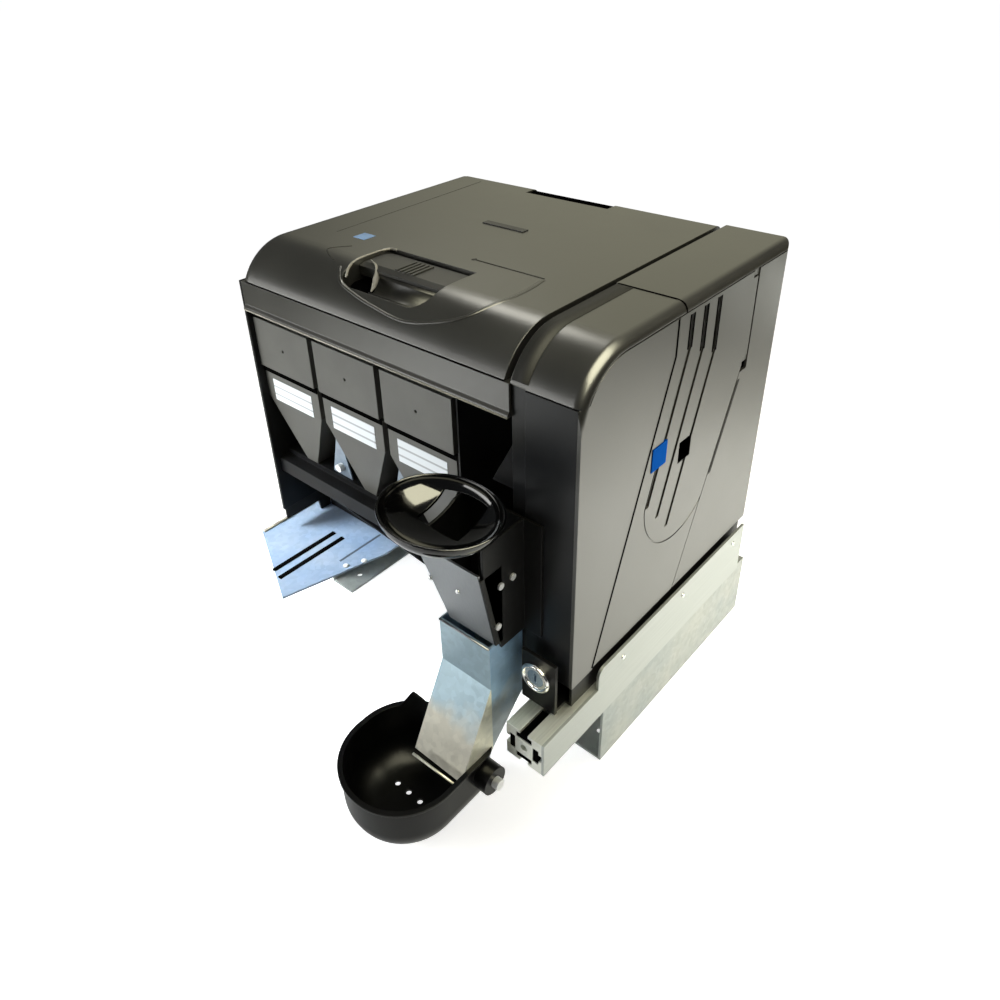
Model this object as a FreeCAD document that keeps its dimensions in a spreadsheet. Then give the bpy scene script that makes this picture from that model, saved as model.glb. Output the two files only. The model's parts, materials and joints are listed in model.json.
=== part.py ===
import FreeCAD, Part
import os
import re
import Sketcher

# Driving sizes in millimetres; a size given as text follows from the others. X runs to the right, Y to the
# back and Z up. Places are measured from the casing's lower front left corner, and every sub-part is then
# shifted to the floor bolt pattern.
sizes = {
    # casing
    "case_width": 380, "case_depth": 300, "case_height": 290, "lid_height": 33,
    "belt_line": "case_height - lid_height", "nose_depth": 50, "wall": 2.5, "panel": 3, "seam": 1,
    "lid_gap": 4.5, "tower_width": 61, "edge_round": 8, "lid_edge_round": 14, "lid_parting": 1.4,
    "lid_toe": 0.4,
    # lid hinge at the rear edge
    "lid_pivot_y": "case_depth - bead_radius", "lid_pivot_z": "case_height - bead_radius",
    "bead_radius": 9, "barrel_radius": 8, "pin_radius": 2.5, "running": 0.05, "notch_left": 108,
    "notch_right": 207, "notch_deep": 21, "notch_front": "case_depth - notch_deep", "lid_pin_left": 66,
    "lid_pin_right": 249, "rear_drop": 20, "rear_top": "case_height - rear_drop", "hinge_leg": 25,
    "hinge_foot": "rear_top - hinge_leg", "hinge_arm": 5,
    # grip recess and paddle in the lid
    "grip_left": 120, "grip_right": 220, "grip_front": 16, "grip_back": 79, "grip_deep": 24,
    "grip_floor": "case_height - grip_deep", "grip_round": 16, "paddle_side": 0.6, "paddle_front": 43,
    "paddle_axis_y": 72, "paddle_drop": 7, "paddle_axis_z": "case_height - paddle_drop",
    "paddle_thick": 4, "paddle_pin": 2, "paddle_stub": 1.6, "paddle_lip": 6, "paddle_tail": 4,
    "paddle_rib": 1.2, "rib_count": 5, "line_left": 198, "line_right": 271, "line_y": 100,
    "line_wide": 1.4, "line_deep": 0.9, "line_dot": 2.2,
    # side door
    "door_front_top": 118, "door_bend_drop": 7, "door_front_bend": "belt_line - door_bend_drop",
    "door_front_foot": 29, "door_foot": 2, "door_top": "case_height - edge_round - seam",
    "door_rear_top": 234, "door_rear_bend": 199, "door_rear_foot": 152, "door_axis_in": 4,
    "door_axis_x": "case_width - door_axis_in", "door_axis_back": 3.5,
    "door_axis_y": "door_rear_top + door_axis_back", "door_barrel": 3.4, "door_pin": 1.5, "door_ear": 5,
    "door_swing": 8, "hinge_room": 6, "rear_cover_edge": "door_axis_y + hinge_room",
    "hinge_cover_in": 11, "hinge_cover": "case_width - hinge_cover_in", "hinge_lap": 3,
    "hinge_cover_front": "door_rear_top - hinge_lap", "slot_first": 134, "slot_pitch": 20.5,
    "slot_width": 4.5, "slot_head": 3, "slot_top": "door_top - slot_head", "slot_tall": 28,
    "slot_open": "slot_top - slot_tall", "slot_step": 9, "slot_lean": 0.34, "slot_run": 124,
    "slot_run_step": 10, "groove_depth": 1.2, "button_y": 95, "button_z": 159, "button_deep": 21,
    "button_tall": 21, "button_proud": 0.6, "button_gap": 0.3, "button_body": 8, "button_rim": 1.6,
    "button_travel": 3, "guide_wall": 1.6, "finger_y": 137, "finger_z": 146, "finger_deep": 19,
    "finger_tall": 20, "finger_depth": 10, "sweep_y": 147, "sweep_z": 125, "sweep_radius": 57,
    "sweep_line": 1.4, "sweep_top": 158, "sweep_lean": 0.33,
    # front tower and shoulder
    "tower_step": 14, "tower_step_deep": 3, "tower_front": 6.5, "shoulder_groove": 1.2,
    "shoulder_rear": 126, "strip_drop": 1.2, "rim_line": 1.2, "trim": 2, "trim_edge": 3,
    # front beam and hoppers
    "beam_tall": 27, "beam_foot": "belt_line - beam_tall", "beam_lip": 2, "beam_return": 18,
    "hopper_gap": 7, "hopper_pitch": "2 * hopper_half + hopper_gap", "bin_side": 0.2,
    "hopper_first": "panel + bin_side + hopper_half", "hopper_half": 40, "plate_front": 5,
    "plate_thick": 3, "plate_foot": 171, "plate_gap": 9, "plate_top": "beam_foot - plate_gap",
    "plate_screw": 1.5, "funnel_top": 137, "funnel_foot": 70, "funnel_tip": 8, "funnel_lean": 10,
    "hopper_depth": 110, "hopper_wall": 2, "bin_gap": 0.3, "plate_line": 3, "plate_line_deep": 4,
    "divider_half": 14, "divider_top": 124, "divider_y": 21, "divider_bolt": 4, "divider_bolt_z": 80,
    "divider_bolt_long": 5, "cradle_foot": 48, "cradle_shelf": 64, "cradle_front": 6,
    "cradle_depth": 92, "cradle_sheet": 2, "bin_end": 1.8,
    "partition_left": "hopper_first + 2 * hopper_pitch + hopper_half + bin_end", "partition_thick": 2,
    "wheel_radius": 30, "wheel_thick": 5, "wheel_z": 112, "wheel_pocket": 8, "wheel_orbit": 19,
    "motor_plate": 2.5, "motor_radius": 18, "motor_length": 48, "shaft_radius": 3, "shaft_length": 18,
    "side_gap": 0.5,
    # sorting deck and belt under the lid
    "deck_drop": 6, "deck_z": "beam_foot - deck_drop", "deck_thick": 2.5, "deck_front": 20,
    "deck_end": 15, "deck_rear": "case_depth - deck_end", "drop_long": 44, "drop_wide": 24,
    "belt_y": 60, "belt_wide": 24, "belt_left": 26, "belt_end": 23,
    "belt_right": "partition_left - belt_end", "belt_rise": 19, "belt_axis_z": "deck_z + belt_rise",
    "pulley_radius": 9, "belt_thick": 1.5, "belt_clear": 0.3, "bracket_thick": 3,
    "belt_motor_length": 55, "belt_motor_radius": 16.3,
    # coin feed behind the side door
    "feed_in": 7, "feed_x": "case_width - tower_width + feed_in", "feed_y": 165, "feed_z": 130,
    "feed_radius": 62, "feed_thick": 10, "feed_hole": 12, "feed_orbit": 42, "feed_count": 8,
    "feed_motor_radius": 24, "feed_shaft": 5, "feed_shaft_length": 16,
    # payout slide, chute and cup
    "slide_front": 20, "slide_rear": 58, "slide_high": 50, "slide_low": 12, "sheet": 1.5,
    "slide_lip": 10, "chute_out": 42, "chute_left": "case_width - tower_width - chute_out",
    "chute_width": 54, "chute_front": -42, "chute_back": -2, "chute_top": 46, "chute_knee": 0,
    "chute_knee_back": -32, "chute_end_front": -82, "chute_end": -76, "chute_end_back": -60,
    "chute_end_low": -88, "window_foot": 4, "window_top": 40, "window_side": 8, "mitre": 1.8,
    "cup_left": "cup_right - cup_width", "cup_width": 104.5,
    "cup_right": "chute_left + chute_width + cup_fit + cup_wall", "cup_front": -152, "cup_back": -42,
    "cup_rim": -66, "cup_foot": -127, "cup_wall": 2.5, "cup_round": 51.5, "cup_corner": 12,
    "cup_floor_round": 30, "cup_lip": 2, "cup_notch": 19, "cup_fit": 0.2, "horn_in": 12,
    "horn_wide": 18, "horn_left": "cup_left + horn_in", "horn_top": -52, "horn_step": 7,
    "horn_peak": "horn_left + horn_step", "drain_radius": 2.6, "drain_pitch": 14, "drain_in": 33,
    "drain_first": "cup_left + drain_in", "drain_y": -94, "cup_boss": 13, "cup_boss_radius": 13,
    "cup_boss_y": -58, "cup_boss_z": -84, "cup_screw": 5, "cup_screw_long": 6,
    # inlet bowl and its bracket
    "bowl_shift": 15, "bowl_x": "chute_left + bowl_shift", "bowl_y": -47, "bowl_rim": 165,
    "bowl_half_wide": 51, "bowl_half_deep": 43, "bowl_depth": 24, "bowl_wall": 2, "mouth_before": 26,
    "mouth_left": "bowl_x - mouth_before", "mouth_after": 16, "mouth_right": "bowl_x + mouth_after",
    "mouth_foot": 141, "mouth_top": 155, "stay_thick": 2, "stay_front": -48, "stay_foot": 40,
    "stay_top": 150, "stay_back": -2, "flange_lap": 31,
    "stay_flange": "case_width - tower_width + flange_lap", "stay_foot_front": -30, "plate_high": 126,
    "plate_high_front": -52, "plate_in": 6, "plate_flare": 11, "rivet_radius": 3, "rivet_head": 1.6,
    "rivet_high_front": -30, "rivet_high_rear": -16, "rivet_high": 104, "rivet_low_y": -34,
    "rivet_low": 66, "guide_wide": 22,
    "guide_left": "max(case_width - tower_width - guide_wide; partition_left + hopper_gap)",
    "guide_foot": 166, "guide_top": 208, "guide_thick": 1.5,
    # chassis, rails and base
    "pan_thick": 2, "pan_front": 59.5, "riser_top": 46, "beam_side": 26, "beam_front": 6, "beam_end": 8,
    "beam_rear": "case_depth - beam_end", "beam_wall": 2.5, "rail_size": 36, "rail_top": -28,
    "rail_in": 35, "rail_right_x": "case_width - rail_in", "rail_left_x": -1, "rail_front": -40,
    "rail_left_front": 5, "rail_end": 10, "rail_rear": "case_depth - rail_end", "rail_slot": 4,
    "rail_lip": 3, "rail_cavity": 8, "rail_web": 1,
    "rail_deep": "rail_size / 2 - rail_lip - rail_cavity - rail_web", "rail_bore": 3.4,
    "fence_thick": 2.5, "fence_top": -6, "fence_step": 34, "fence_round": 8, "tray_left": -17,
    "tray_tip": 86, "tray_right": 115, "tray_front": -70, "tray_side_front": -20,
    "tray_right_front": 40, "tray_thick": 2, "tray_end": 15, "tray_rear": "case_depth - tray_end",
    "tray_slot_left": 43.5, "tray_slot_pitch": 14, "tray_slot_wide": 4, "tray_slot_front": -46,
    "tray_slot_rear": 29, "tray_groove_left": 86, "tray_groove_wide": 1.5, "tray_groove_front": 2,
    "tray_groove_rear": 56, "tray_hole": 2.2, "tray_hole_x": 98, "tray_hole_y": 0,
    "tray_hole_pitch": 17, "base_front": 48, "base_after": 10, "base_rear": "case_depth + base_after",
    "floor_z": -135, "base_flange": 34, "base_sheet": 2.5, "foot_hole": 3.3, "foot_hole_in": 16,
    "foot_hole_end": 26, "glide_neck": 3.7, "glide_head": 7.6, "glide_spare": 2,
    "glide_head_tall": "rail_deep - glide_spare", "glide_long": 40, "glide_clear": 0.3, "tie_wide": 30,
    "tie_front": "tie_rear - tie_wide", "tie_in": 10, "tie_rear": "base_rear - tie_in", "tie_tall": 20,
    # lock on the right rail
    "lock_in": 8, "lock_x": "rail_right_x + lock_in", "lock_z": 5, "lock_front": -13, "lock_ring": 14,
    "lock_ring_thick": 3, "lock_body": 11, "lock_plug": 8, "lock_length": 12, "key_wide": 2.2,
    "key_tall": 9, "key_deep": 5, "lock_plate_before": 16,
    "lock_plate_left": "lock_x - lock_plate_before", "lock_plate_after": 18,
    "lock_plate_right": "lock_x + lock_plate_after", "lock_plate_top": 26, "lock_plate_thick": 3,
    "cam_long": 19, "cam_tail": 8, "cam_wide": 12, "cam_thick": 3,
    # electronics and rear panel
    "supply_left": 30, "supply_right": 150, "supply_deep": 72,
    "supply_front": "supply_rear - supply_deep", "supply_back": 23,
    "supply_rear": "case_depth - supply_back", "supply_tall": 60, "board_left": 165, "board_right": 250,
    "board_foot": 70, "board_top": 200, "board_thick": 1.6, "standoff": 8, "standoff_radius": 3,
    "inlet_left": 60, "inlet_wide": 50, "inlet_foot": 20, "inlet_tall": 30, "inlet_deep": 18,
    "inlet_rim": 9, "inlet_well": 12, "inlet_pin": 2, "inlet_pin_tall": 5, "vent_count": 8,
    "vent_pitch": 14, "vent_left": 150, "vent_wide": 5, "vent_foot": 120, "vent_top": 180,
    # frame origin at the middle of the floor bolts
    "origin_x": "(rail_left_x + rail_right_x + rail_size) / 2",
    "origin_y": "(base_front + base_rear) / 2",
}

doc = FreeCAD.newDocument("CoinSorter")
sheet = doc.addObject("Spreadsheet::Sheet", "Sizes")
for row, name in enumerate(sizes, 1):
    sheet.set(f"A{row}", name)
    sheet.setAlias(f"B{row}", name)
for row, value in enumerate(sizes.values(), 1):
    sheet.set(f"B{row}", f"={value}")
doc.recompute()

nodes = {}
planes = {"z": "XY_Plane", "y": "XZ_Plane", "x": "YZ_Plane"}
tolerance = 0.001


def linked(text):
    return re.sub(r"[a-z_]+", lambda word: "Sizes." + word[0] if word[0] in sizes else word[0], str(text))


def number(text):
    return float(sheet.evalExpression(linked(text)))


def bind(item, prop, text):
    item.setExpression(prop, linked(text))


def place(item, x, y, z):
    for axis, text in zip("xyz", (x, y, z)):
        bind(item, f"Placement.Base.{axis}", text)


def box(low, high):
    item = doc.addObject("Part::Box", "Block")
    for prop, start, end in zip(("Length", "Width", "Height"), low, high):
        bind(item, prop, f"({end}) - ({start})")
    place(item, *low)
    return item


def rod(axis, across, start, end, radius):
    item = doc.addObject("Part::Cylinder", "Rod")
    bind(item, "Radius", radius)
    bind(item, "Height", f"({end}) - ({start})")
    turn = {"x": ((0, 1, 0), 90), "y": ((1, 0, 0), -90), "z": ((0, 0, 1), 0)}[axis]
    item.Placement = FreeCAD.Placement(FreeCAD.Vector(),
                                       FreeCAD.Rotation(FreeCAD.Vector(*turn[0]), turn[1]))
    centre = list(across)
    centre.insert("xyz".index(axis), start)
    place(item, *centre)
    return item


def half_bowl(centre, wide, deep, depth):
    item = doc.addObject("Part::Ellipsoid", "HalfBowl")
    bind(item, "Radius1", depth)
    bind(item, "Radius2", wide)
    bind(item, "Radius3", deep)
    item.Angle1 = -90
    item.Angle2 = 0
    place(item, *centre)
    return item


def joined(*items):
    item = doc.addObject("Part::MultiFuse", "Joined")
    item.Shapes = list(items)
    return item


def group(*items):
    item = doc.addObject("Part::Compound", "Group")
    item.Links = list(items)
    return item


def cut(base, *tools):
    item = doc.addObject("Part::Cut", "Trimmed")
    item.Base = base
    item.Tool = tools[0] if len(tools) == 1 else joined(*tools)
    return item


def shared(first, second):
    item = doc.addObject("Part::MultiCommon", "Shared")
    item.Shapes = [first, second]
    return item


# A profile is a list of corners. A third entry on a corner makes the stretch that ends there an arc of
# that radius, turning left when it is positive and right when it is negative.
def draw(body, axis, corners, level):
    sketch = body.newObject("Sketcher::SketchObject", "Profile")
    origin_plane = [item for item in body.Origin.OriginFeatures if item.Role == planes[axis]][0]
    sketch.AttachmentSupport = (origin_plane, [""])
    sketch.MapMode = "FlatFace"
    bind(sketch, "AttachmentOffset.Base.z", f"-({level})" if axis == "y" else level)
    points = [FreeCAD.Vector(number(corner[0]), number(corner[1]), 0) for corner in corners]
    ends = []
    for index, corner in enumerate(corners):
        start, end = points[index - 1], points[index]
        if len(corner) == 2:
            sketch.addGeometry(Part.LineSegment(start, end), False)
            ends.append((1, 2))
            continue
        radius = number(corner[2])
        chord = end - start
        side = FreeCAD.Vector(-chord.y, chord.x, 0).normalize()
        reach = max(radius * radius - chord.Length ** 2 / 4, 0) ** 0.5
        middle = (start + end) * 0.5
        centre = middle + side * (reach if radius > 0 else -reach)
        bulge = (middle - centre).normalize() if reach > tolerance else side * (-1 if radius > 0 else 1)
        arc = Part.Arc(start, centre + bulge * abs(radius), end)
        sketch.addGeometry(arc, False)
        ends.append((1, 2) if radius > 0 else (2, 1))
    for index, corner in enumerate(corners):
        following = (index + 1) % len(corners)
        sketch.addConstraint(Sketcher.Constraint("Coincident", index, ends[index][1], following,
                                                 ends[following][0]))
        if len(corner) == 3:
            spot = sketch.addConstraint(Sketcher.Constraint("Radius", index, abs(number(corner[2]))))
            bind(sketch, f"Constraints[{spot}]", f"abs({corner[2]})")
        for kind, text in zip(("DistanceX", "DistanceY"), corner):
            spot = sketch.addConstraint(Sketcher.Constraint
                                        (kind, -1, 1, index, ends[index][1], number(text)))
            bind(sketch, f"Constraints[{spot}]", text)
    return sketch


def prism(axis, corners, start, end):
    body = doc.addObject("PartDesign::Body", "Prism")
    pad = body.newObject("PartDesign::Pad", "Pad")
    pad.Profile = draw(body, axis, corners, start)
    bind(pad, "Length", f"({end}) - ({start})")
    pad.Reversed = axis == "y"
    doc.recompute()
    return body


def pocket(body, axis, corners, start, end):
    hole = body.newObject("PartDesign::Pocket", "Pocket")
    hole.Profile = draw(body, axis, corners, start)
    bind(hole, "Length", f"({end}) - ({start})")
    hole.Reversed = axis != "y"
    doc.recompute()
    return body


def rounded(body, radius, chosen):
    base = body.Tip
    names = [f"Edge{index}" for index, edge in enumerate(base.Shape.Edges, 1) if chosen(edge)]
    fillet = body.newObject("PartDesign::Fillet", "Round")
    fillet.Base = (base, names)
    bind(fillet, "Radius", radius)
    doc.recompute()
    return body


def frame(low_u, low_v, high_u, high_v):
    return [(low_u, low_v), (high_u, low_v), (high_u, high_v), (low_u, high_v)]


# A plain block or rod keeps its own place inside a group, and the group takes the frame's shift
def node(name, item):
    if item.TypeId in ("Part::Box", "Part::Cylinder"):
        item = group(item)
    place(item, "-origin_x", "-origin_y", "-floor_z")
    item.Label = name
    nodes[name] = item


def on_line(edge, **places):
    points = [vertex.Point for vertex in edge.Vertexes]
    return all(abs(getattr(point, axis) - number(text)) < tolerance for axis,
               text in places.items() for point in points)


nose_radius = "((nose_depth^2 + (case_height - belt_line)^2) / (2 * (case_height - belt_line)))"
lid_right = "(case_width - tower_width - lid_gap)"
tower_left = "(case_width - tower_width)"


# Lid: a moulded shell with a curved nose, a rounded hinge bead and a grip recess
def lid_outline(inset):
    crown = f"(case_height - {inset})"
    skirt = "(belt_line + lid_parting)"
    toe = f"({inset} + lid_toe)"
    return [(toe, skirt, f"{nose_radius} - {inset}"), ("lid_pivot_y", skirt), ("lid_pivot_y", crown),
            ("nose_depth", crown)]


def build_lid():
    outer = prism("x", lid_outline("0"), "0", lid_right)
    rounded(outer, "lid_edge_round", lambda edge: on_line(edge, x="0", z="case_height"))
    inner = prism("x", lid_outline("wall"), "wall", f"{lid_right} - wall")
    rounded(inner, "lid_edge_round - wall", lambda edge: on_line(edge, x="wall", z="case_height - wall"))
    pivot = ("lid_pivot_y", "lid_pivot_z")
    bead = rod("x", pivot, "lid_edge_round", lid_right, "bead_radius")
    pocket_wall = shared(outer, grip_space("wall"))
    notch = box(("notch_left", "notch_front", "belt_line"),
                ("notch_right", "case_depth + wall", "case_height + wall"))
    pin_hole = rod("x", pivot, "lid_pin_left", "lid_pin_right", "pin_radius")
    stub_hole = rod("x", ("paddle_axis_y", "paddle_axis_z"), "grip_left - paddle_stub - paddle_side",
                    "grip_right + paddle_stub + paddle_side", "paddle_pin + running")
    rear_skirt = box(("0", "lid_pivot_y - bead_radius - wall", "belt_line"),
                     (lid_right, "lid_pivot_y + wall", "lid_pivot_z"))
    shell = cut(outer, inner, rear_skirt)
    line = box(("line_left", "line_y", "case_height - line_deep"),
               ("line_right", "line_y + line_wide", "case_height + wall"))
    dot = rod("z", ("line_left", "line_y + line_wide / 2"), "case_height - line_deep", "case_height + wall",
              "line_dot")
    node("lid", cut(joined(shell, bead, pocket_wall), grip_space("0"), notch, pin_hole, stub_hole, line,
                    dot))


def grip_space(grow):
    left, right = f"(grip_left - {grow})", f"(grip_right + {grow})"
    front, back = f"(grip_front - {grow})", f"(grip_back + {grow})"
    bend = f"(grip_round + {grow})"
    return prism("z", [(f"{left} + {bend}", front, bend), (f"{right} - {bend}", front),
                       (right, f"{front} + {bend}", bend), (right, back), (left, back),
                       (left, f"{front} + {bend}")],
                 f"grip_floor - {grow}", "case_height + wall")


def build_paddle():
    left, right = "grip_left + paddle_side", "grip_right - paddle_side"
    top = "(paddle_axis_z + paddle_thick)"
    blade = prism("x", [("paddle_front", "paddle_axis_z"), ("paddle_axis_y + paddle_tail", "paddle_axis_z"),
                        ("paddle_axis_y + paddle_tail", top), ("paddle_front + paddle_lip", top),
                        ("paddle_front", f"{top} - paddle_thick / 2")], left, right)
    hook = box((left, "paddle_front", "paddle_axis_z - paddle_lip"),
               (right, "paddle_front + wall", "paddle_axis_z"))
    stub = rod("x", ("paddle_axis_y", "paddle_axis_z"), "grip_left - paddle_stub",
               "grip_right + paddle_stub",
               "paddle_pin")
    ribs = []
    for index in range(sizes["rib_count"]):
        start = f"(grip_left + grip_right) / 2 + {2 * index - sizes['rib_count']} * 2 * paddle_rib"
        ribs.append(box((start, "paddle_front + paddle_lip", f"{top} - paddle_rib"),
                        (f"{start} + paddle_rib * 2", "paddle_axis_y", f"{top} + paddle_rib")))
    node("lid_paddle", joined(blade, hook, stub, *ribs))


def build_lid_hinge():
    pivot = ("lid_pivot_y", "lid_pivot_z")
    left, right = "notch_left + seam", "notch_right - seam"
    barrel = rod("x", pivot, left, right, "barrel_radius")
    arm = box((left, "case_depth - panel - hinge_arm", "hinge_foot"),
              (right, "case_depth - panel", "lid_pivot_z"))
    bore = rod("x", pivot, "notch_left", "notch_right", "pin_radius + running")
    node("lid_hinge_bracket", cut(joined(barrel, arm), bore))
    node("lid_hinge_pin", rod("x", pivot, "lid_pin_left", "lid_pin_right", "pin_radius"))


# Right-hand covers: the front tower with its shoulder, the side door and the rear cover
def tower_outline(inset, front):
    crown = f"(case_height - {inset})"
    return [(front, inset), (f"door_front_foot - seam + {inset} * 2", inset),
            ("door_front_top - seam", "door_front_bend"), ("door_front_top - seam", "door_top + seam"),
            ("shoulder_rear", "door_top + seam"), ("shoulder_rear", crown), ("nose_depth", crown),
            (front, "belt_line", f"{nose_radius} - {inset}")]


# The skin of the nose and the crown between two depths, over a stretch of the tower's width
def nose_skin(near, far, start, end):
    def outline(depth):
        return [("shoulder_rear", "belt_line"), ("shoulder_rear", f"case_height - {depth}"),
                ("nose_depth", f"case_height - {depth}"), (depth, "belt_line", f"{nose_radius} - {depth}")]

    return cut(prism("x", outline(near), start, end), prism("x", outline(far), start, end))


def build_tower():
    def on_rim(edge):
        heights = [vertex.Point.z for vertex in edge.Vertexes]
        depths = [vertex.Point.y for vertex in edge.Vertexes]
        return on_line(edge, x="case_width") and (min(heights) > number("case_height - seam") or (
            max(heights) > number("case_height - seam") and max(depths) < number("nose_depth + seam")))

    outer = prism("x", tower_outline("0", "0"), tower_left, "case_width")
    rounded(outer, "edge_round", on_rim)
    crown = "(case_height - wall)"
    inner = prism("x", [("tower_front", "wall"), ("case_depth", "wall"), ("case_depth", crown),
                        ("nose_depth", crown),
                        ("tower_front", "belt_line + wall", f"{nose_radius} + wall")],
                  f"{tower_left} - wall", "case_width - wall")
    strip = nose_skin("0", "strip_drop", f"{tower_left}", f"{tower_left} + tower_step")
    rim_line = nose_skin("edge_round", "(edge_round + rim_line)", "case_width - rim_line", "case_width")
    trim_space = prism("z", trim_outline("(tower_step_deep + wall)"), "0", "belt_line - shoulder_groove")
    groove = box((tower_left, "0", "belt_line - shoulder_groove"), ("case_width", "trim", "belt_line"))
    node("front_tower", cut(outer, inner, strip, rim_line, trim_space, groove))
    node("tower_trim", prism("z", trim_outline("0"), "0", "belt_line - shoulder_groove"))


# Section of the folded black trim on the tower's front, drawn forward by a margin
def trim_outline(margin):
    bend = f"({tower_left} + tower_step)"
    return [(tower_left, f"tower_step_deep - {margin}"), (bend, f"tower_step_deep - {margin}"),
            (bend, f"-{margin}"),
            ("case_width - trim_edge", f"-{margin}"), ("case_width - trim_edge", "trim"),
            (f"{bend} + trim", "trim"),
            (f"{bend} + trim", "tower_step_deep + trim"), (tower_left, "tower_step_deep + trim")]


def build_door():
    door = prism("x", [("door_front_foot", "door_foot"), ("door_rear_foot", "door_foot"),
                       ("door_rear_top", "door_rear_bend"), ("door_rear_top", "door_top"),
                       ("door_front_top", "door_top"), ("door_front_top", "door_front_bend")],
                 "case_width - panel", "case_width")
    for index in range(3):
        front = f"(slot_first + slot_pitch * {index})"
        foot = f"(slot_open - slot_step * {index})"
        pocket(door, "x", frame(front, foot, f"{front} + slot_width", "slot_top"),
               "case_width - panel - wall", "case_width + wall")
        run = f"(slot_run + slot_run_step * {index})"
        pocket(door, "x", [(front, foot), (f"{front} - {run} * slot_lean", f"{foot} - {run}"),
                           (f"{front} + slot_width - {run} * slot_lean", f"{foot} - {run}"),
                           (f"{front} + slot_width", foot)],
               "case_width - groove_depth", "case_width + wall")
    window = frame("button_y - button_gap", "button_z - button_gap", "button_y + button_deep + button_gap",
                   "button_z + button_tall + button_gap")
    pocket(door, "x", window, "case_width - panel - wall", "case_width + wall")
    pocket(door, "x", frame("finger_y", "finger_z", "finger_y + finger_deep", "finger_z + finger_tall"),
           "case_width - panel - wall", "case_width + wall")
    back = "case_width - panel"
    dish = cut(box((f"{back} - finger_depth", "finger_y - wall", "finger_z - wall"),
                   (back, "finger_y + finger_deep + wall", "finger_z + finger_tall + wall")),
               box((f"{back} - finger_depth + wall", "finger_y", "finger_z"),
                   ("case_width", "finger_y + finger_deep", "finger_z + finger_tall")))
    reach = "(button_gap + button_rim)"
    sleeve = cut(box((f"{back} - button_body - button_travel",
                      f"button_y - {reach} - guide_wall - button_gap",
                      f"button_z - {reach} - guide_wall - button_gap"),
                     (back, f"button_y + button_deep + {reach} + guide_wall + button_gap",
                      f"button_z + button_tall + {reach} + guide_wall + button_gap")),
                 box((f"{back} - button_body - button_travel - wall", f"button_y - {reach} - button_gap",
                      f"button_z - {reach} - button_gap"),
                     (back, f"button_y + button_deep + {reach} + button_gap",
                      f"button_z + button_tall + {reach} + button_gap")))
    barrel = rod("z", ("door_axis_x", "door_axis_y"), "door_rear_bend + door_ear + seam",
                 "door_top - door_ear - seam", "door_barrel")
    knuckle = box(("case_width - panel", "door_rear_top - seam", "door_rear_bend + door_ear + seam"),
                  ("case_width - seam", "door_axis_y", "door_top - door_ear - seam"))
    skin = box(("case_width - seam", "door_rear_top - seam", "door_rear_bend + door_ear + seam"),
               ("case_width", "door_axis_y + door_axis_back", "door_top - door_ear - seam"))
    ear_room = [box(("case_width - panel - wall", "door_rear_top - seam", low),
                    ("case_width + wall", "door_axis_y", high))
                for low, high in (("door_rear_bend - seam", "door_rear_bend + door_ear + seam"),
                                  ("door_top - door_ear - seam", "door_top + wall"))]
    bore = rod("z", ("door_axis_x", "door_axis_y"), "door_rear_bend", "door_top", "door_pin + running")
    panel = cut(door, sweep_line(), *ear_room)
    node("side_door", cut(joined(panel, dish, sleeve, barrel, knuckle, skin), bore))


# Curved line moulded into the door: a bowl-shaped sweep with a leaning tail up to the button
def sweep_line():
    start, end = "case_width - groove_depth / 2", "case_width + wall"
    centre = ("sweep_y", "sweep_z")
    ring = cut(rod("x", centre, start, end, "sweep_radius"),
               rod("x", centre, start, end, "sweep_radius - sweep_line"))
    bowl = shared(ring, box((start, "sweep_y - sweep_radius", "sweep_z - sweep_radius"),
                            (end, "sweep_y + sweep_radius", "sweep_z")))
    foot = "(sweep_y - sweep_radius)"
    rise = "((sweep_top - sweep_z) * sweep_lean)"
    tail = prism("x", [(foot, "sweep_z"), (f"{foot} + sweep_line", "sweep_z"),
                       (f"{foot} + sweep_line + {rise}", "sweep_top"),
                       (f"{foot} + {rise}", "sweep_top")], start, end)
    return joined(bowl, tail)


def build_door_button():
    face = "(case_width + button_proud)"
    back = "case_width - panel"
    head = box((f"{back} - button_body", "button_y", "button_z"),
               (face, "button_y + button_deep", "button_z + button_tall"))
    rim = box((f"{back} - button_body", "button_y - button_rim", "button_z - button_rim"),
              (f"{back}", "button_y + button_deep + button_rim", "button_z + button_tall + button_rim"))
    node("door_button", joined(head, rim))


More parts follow.
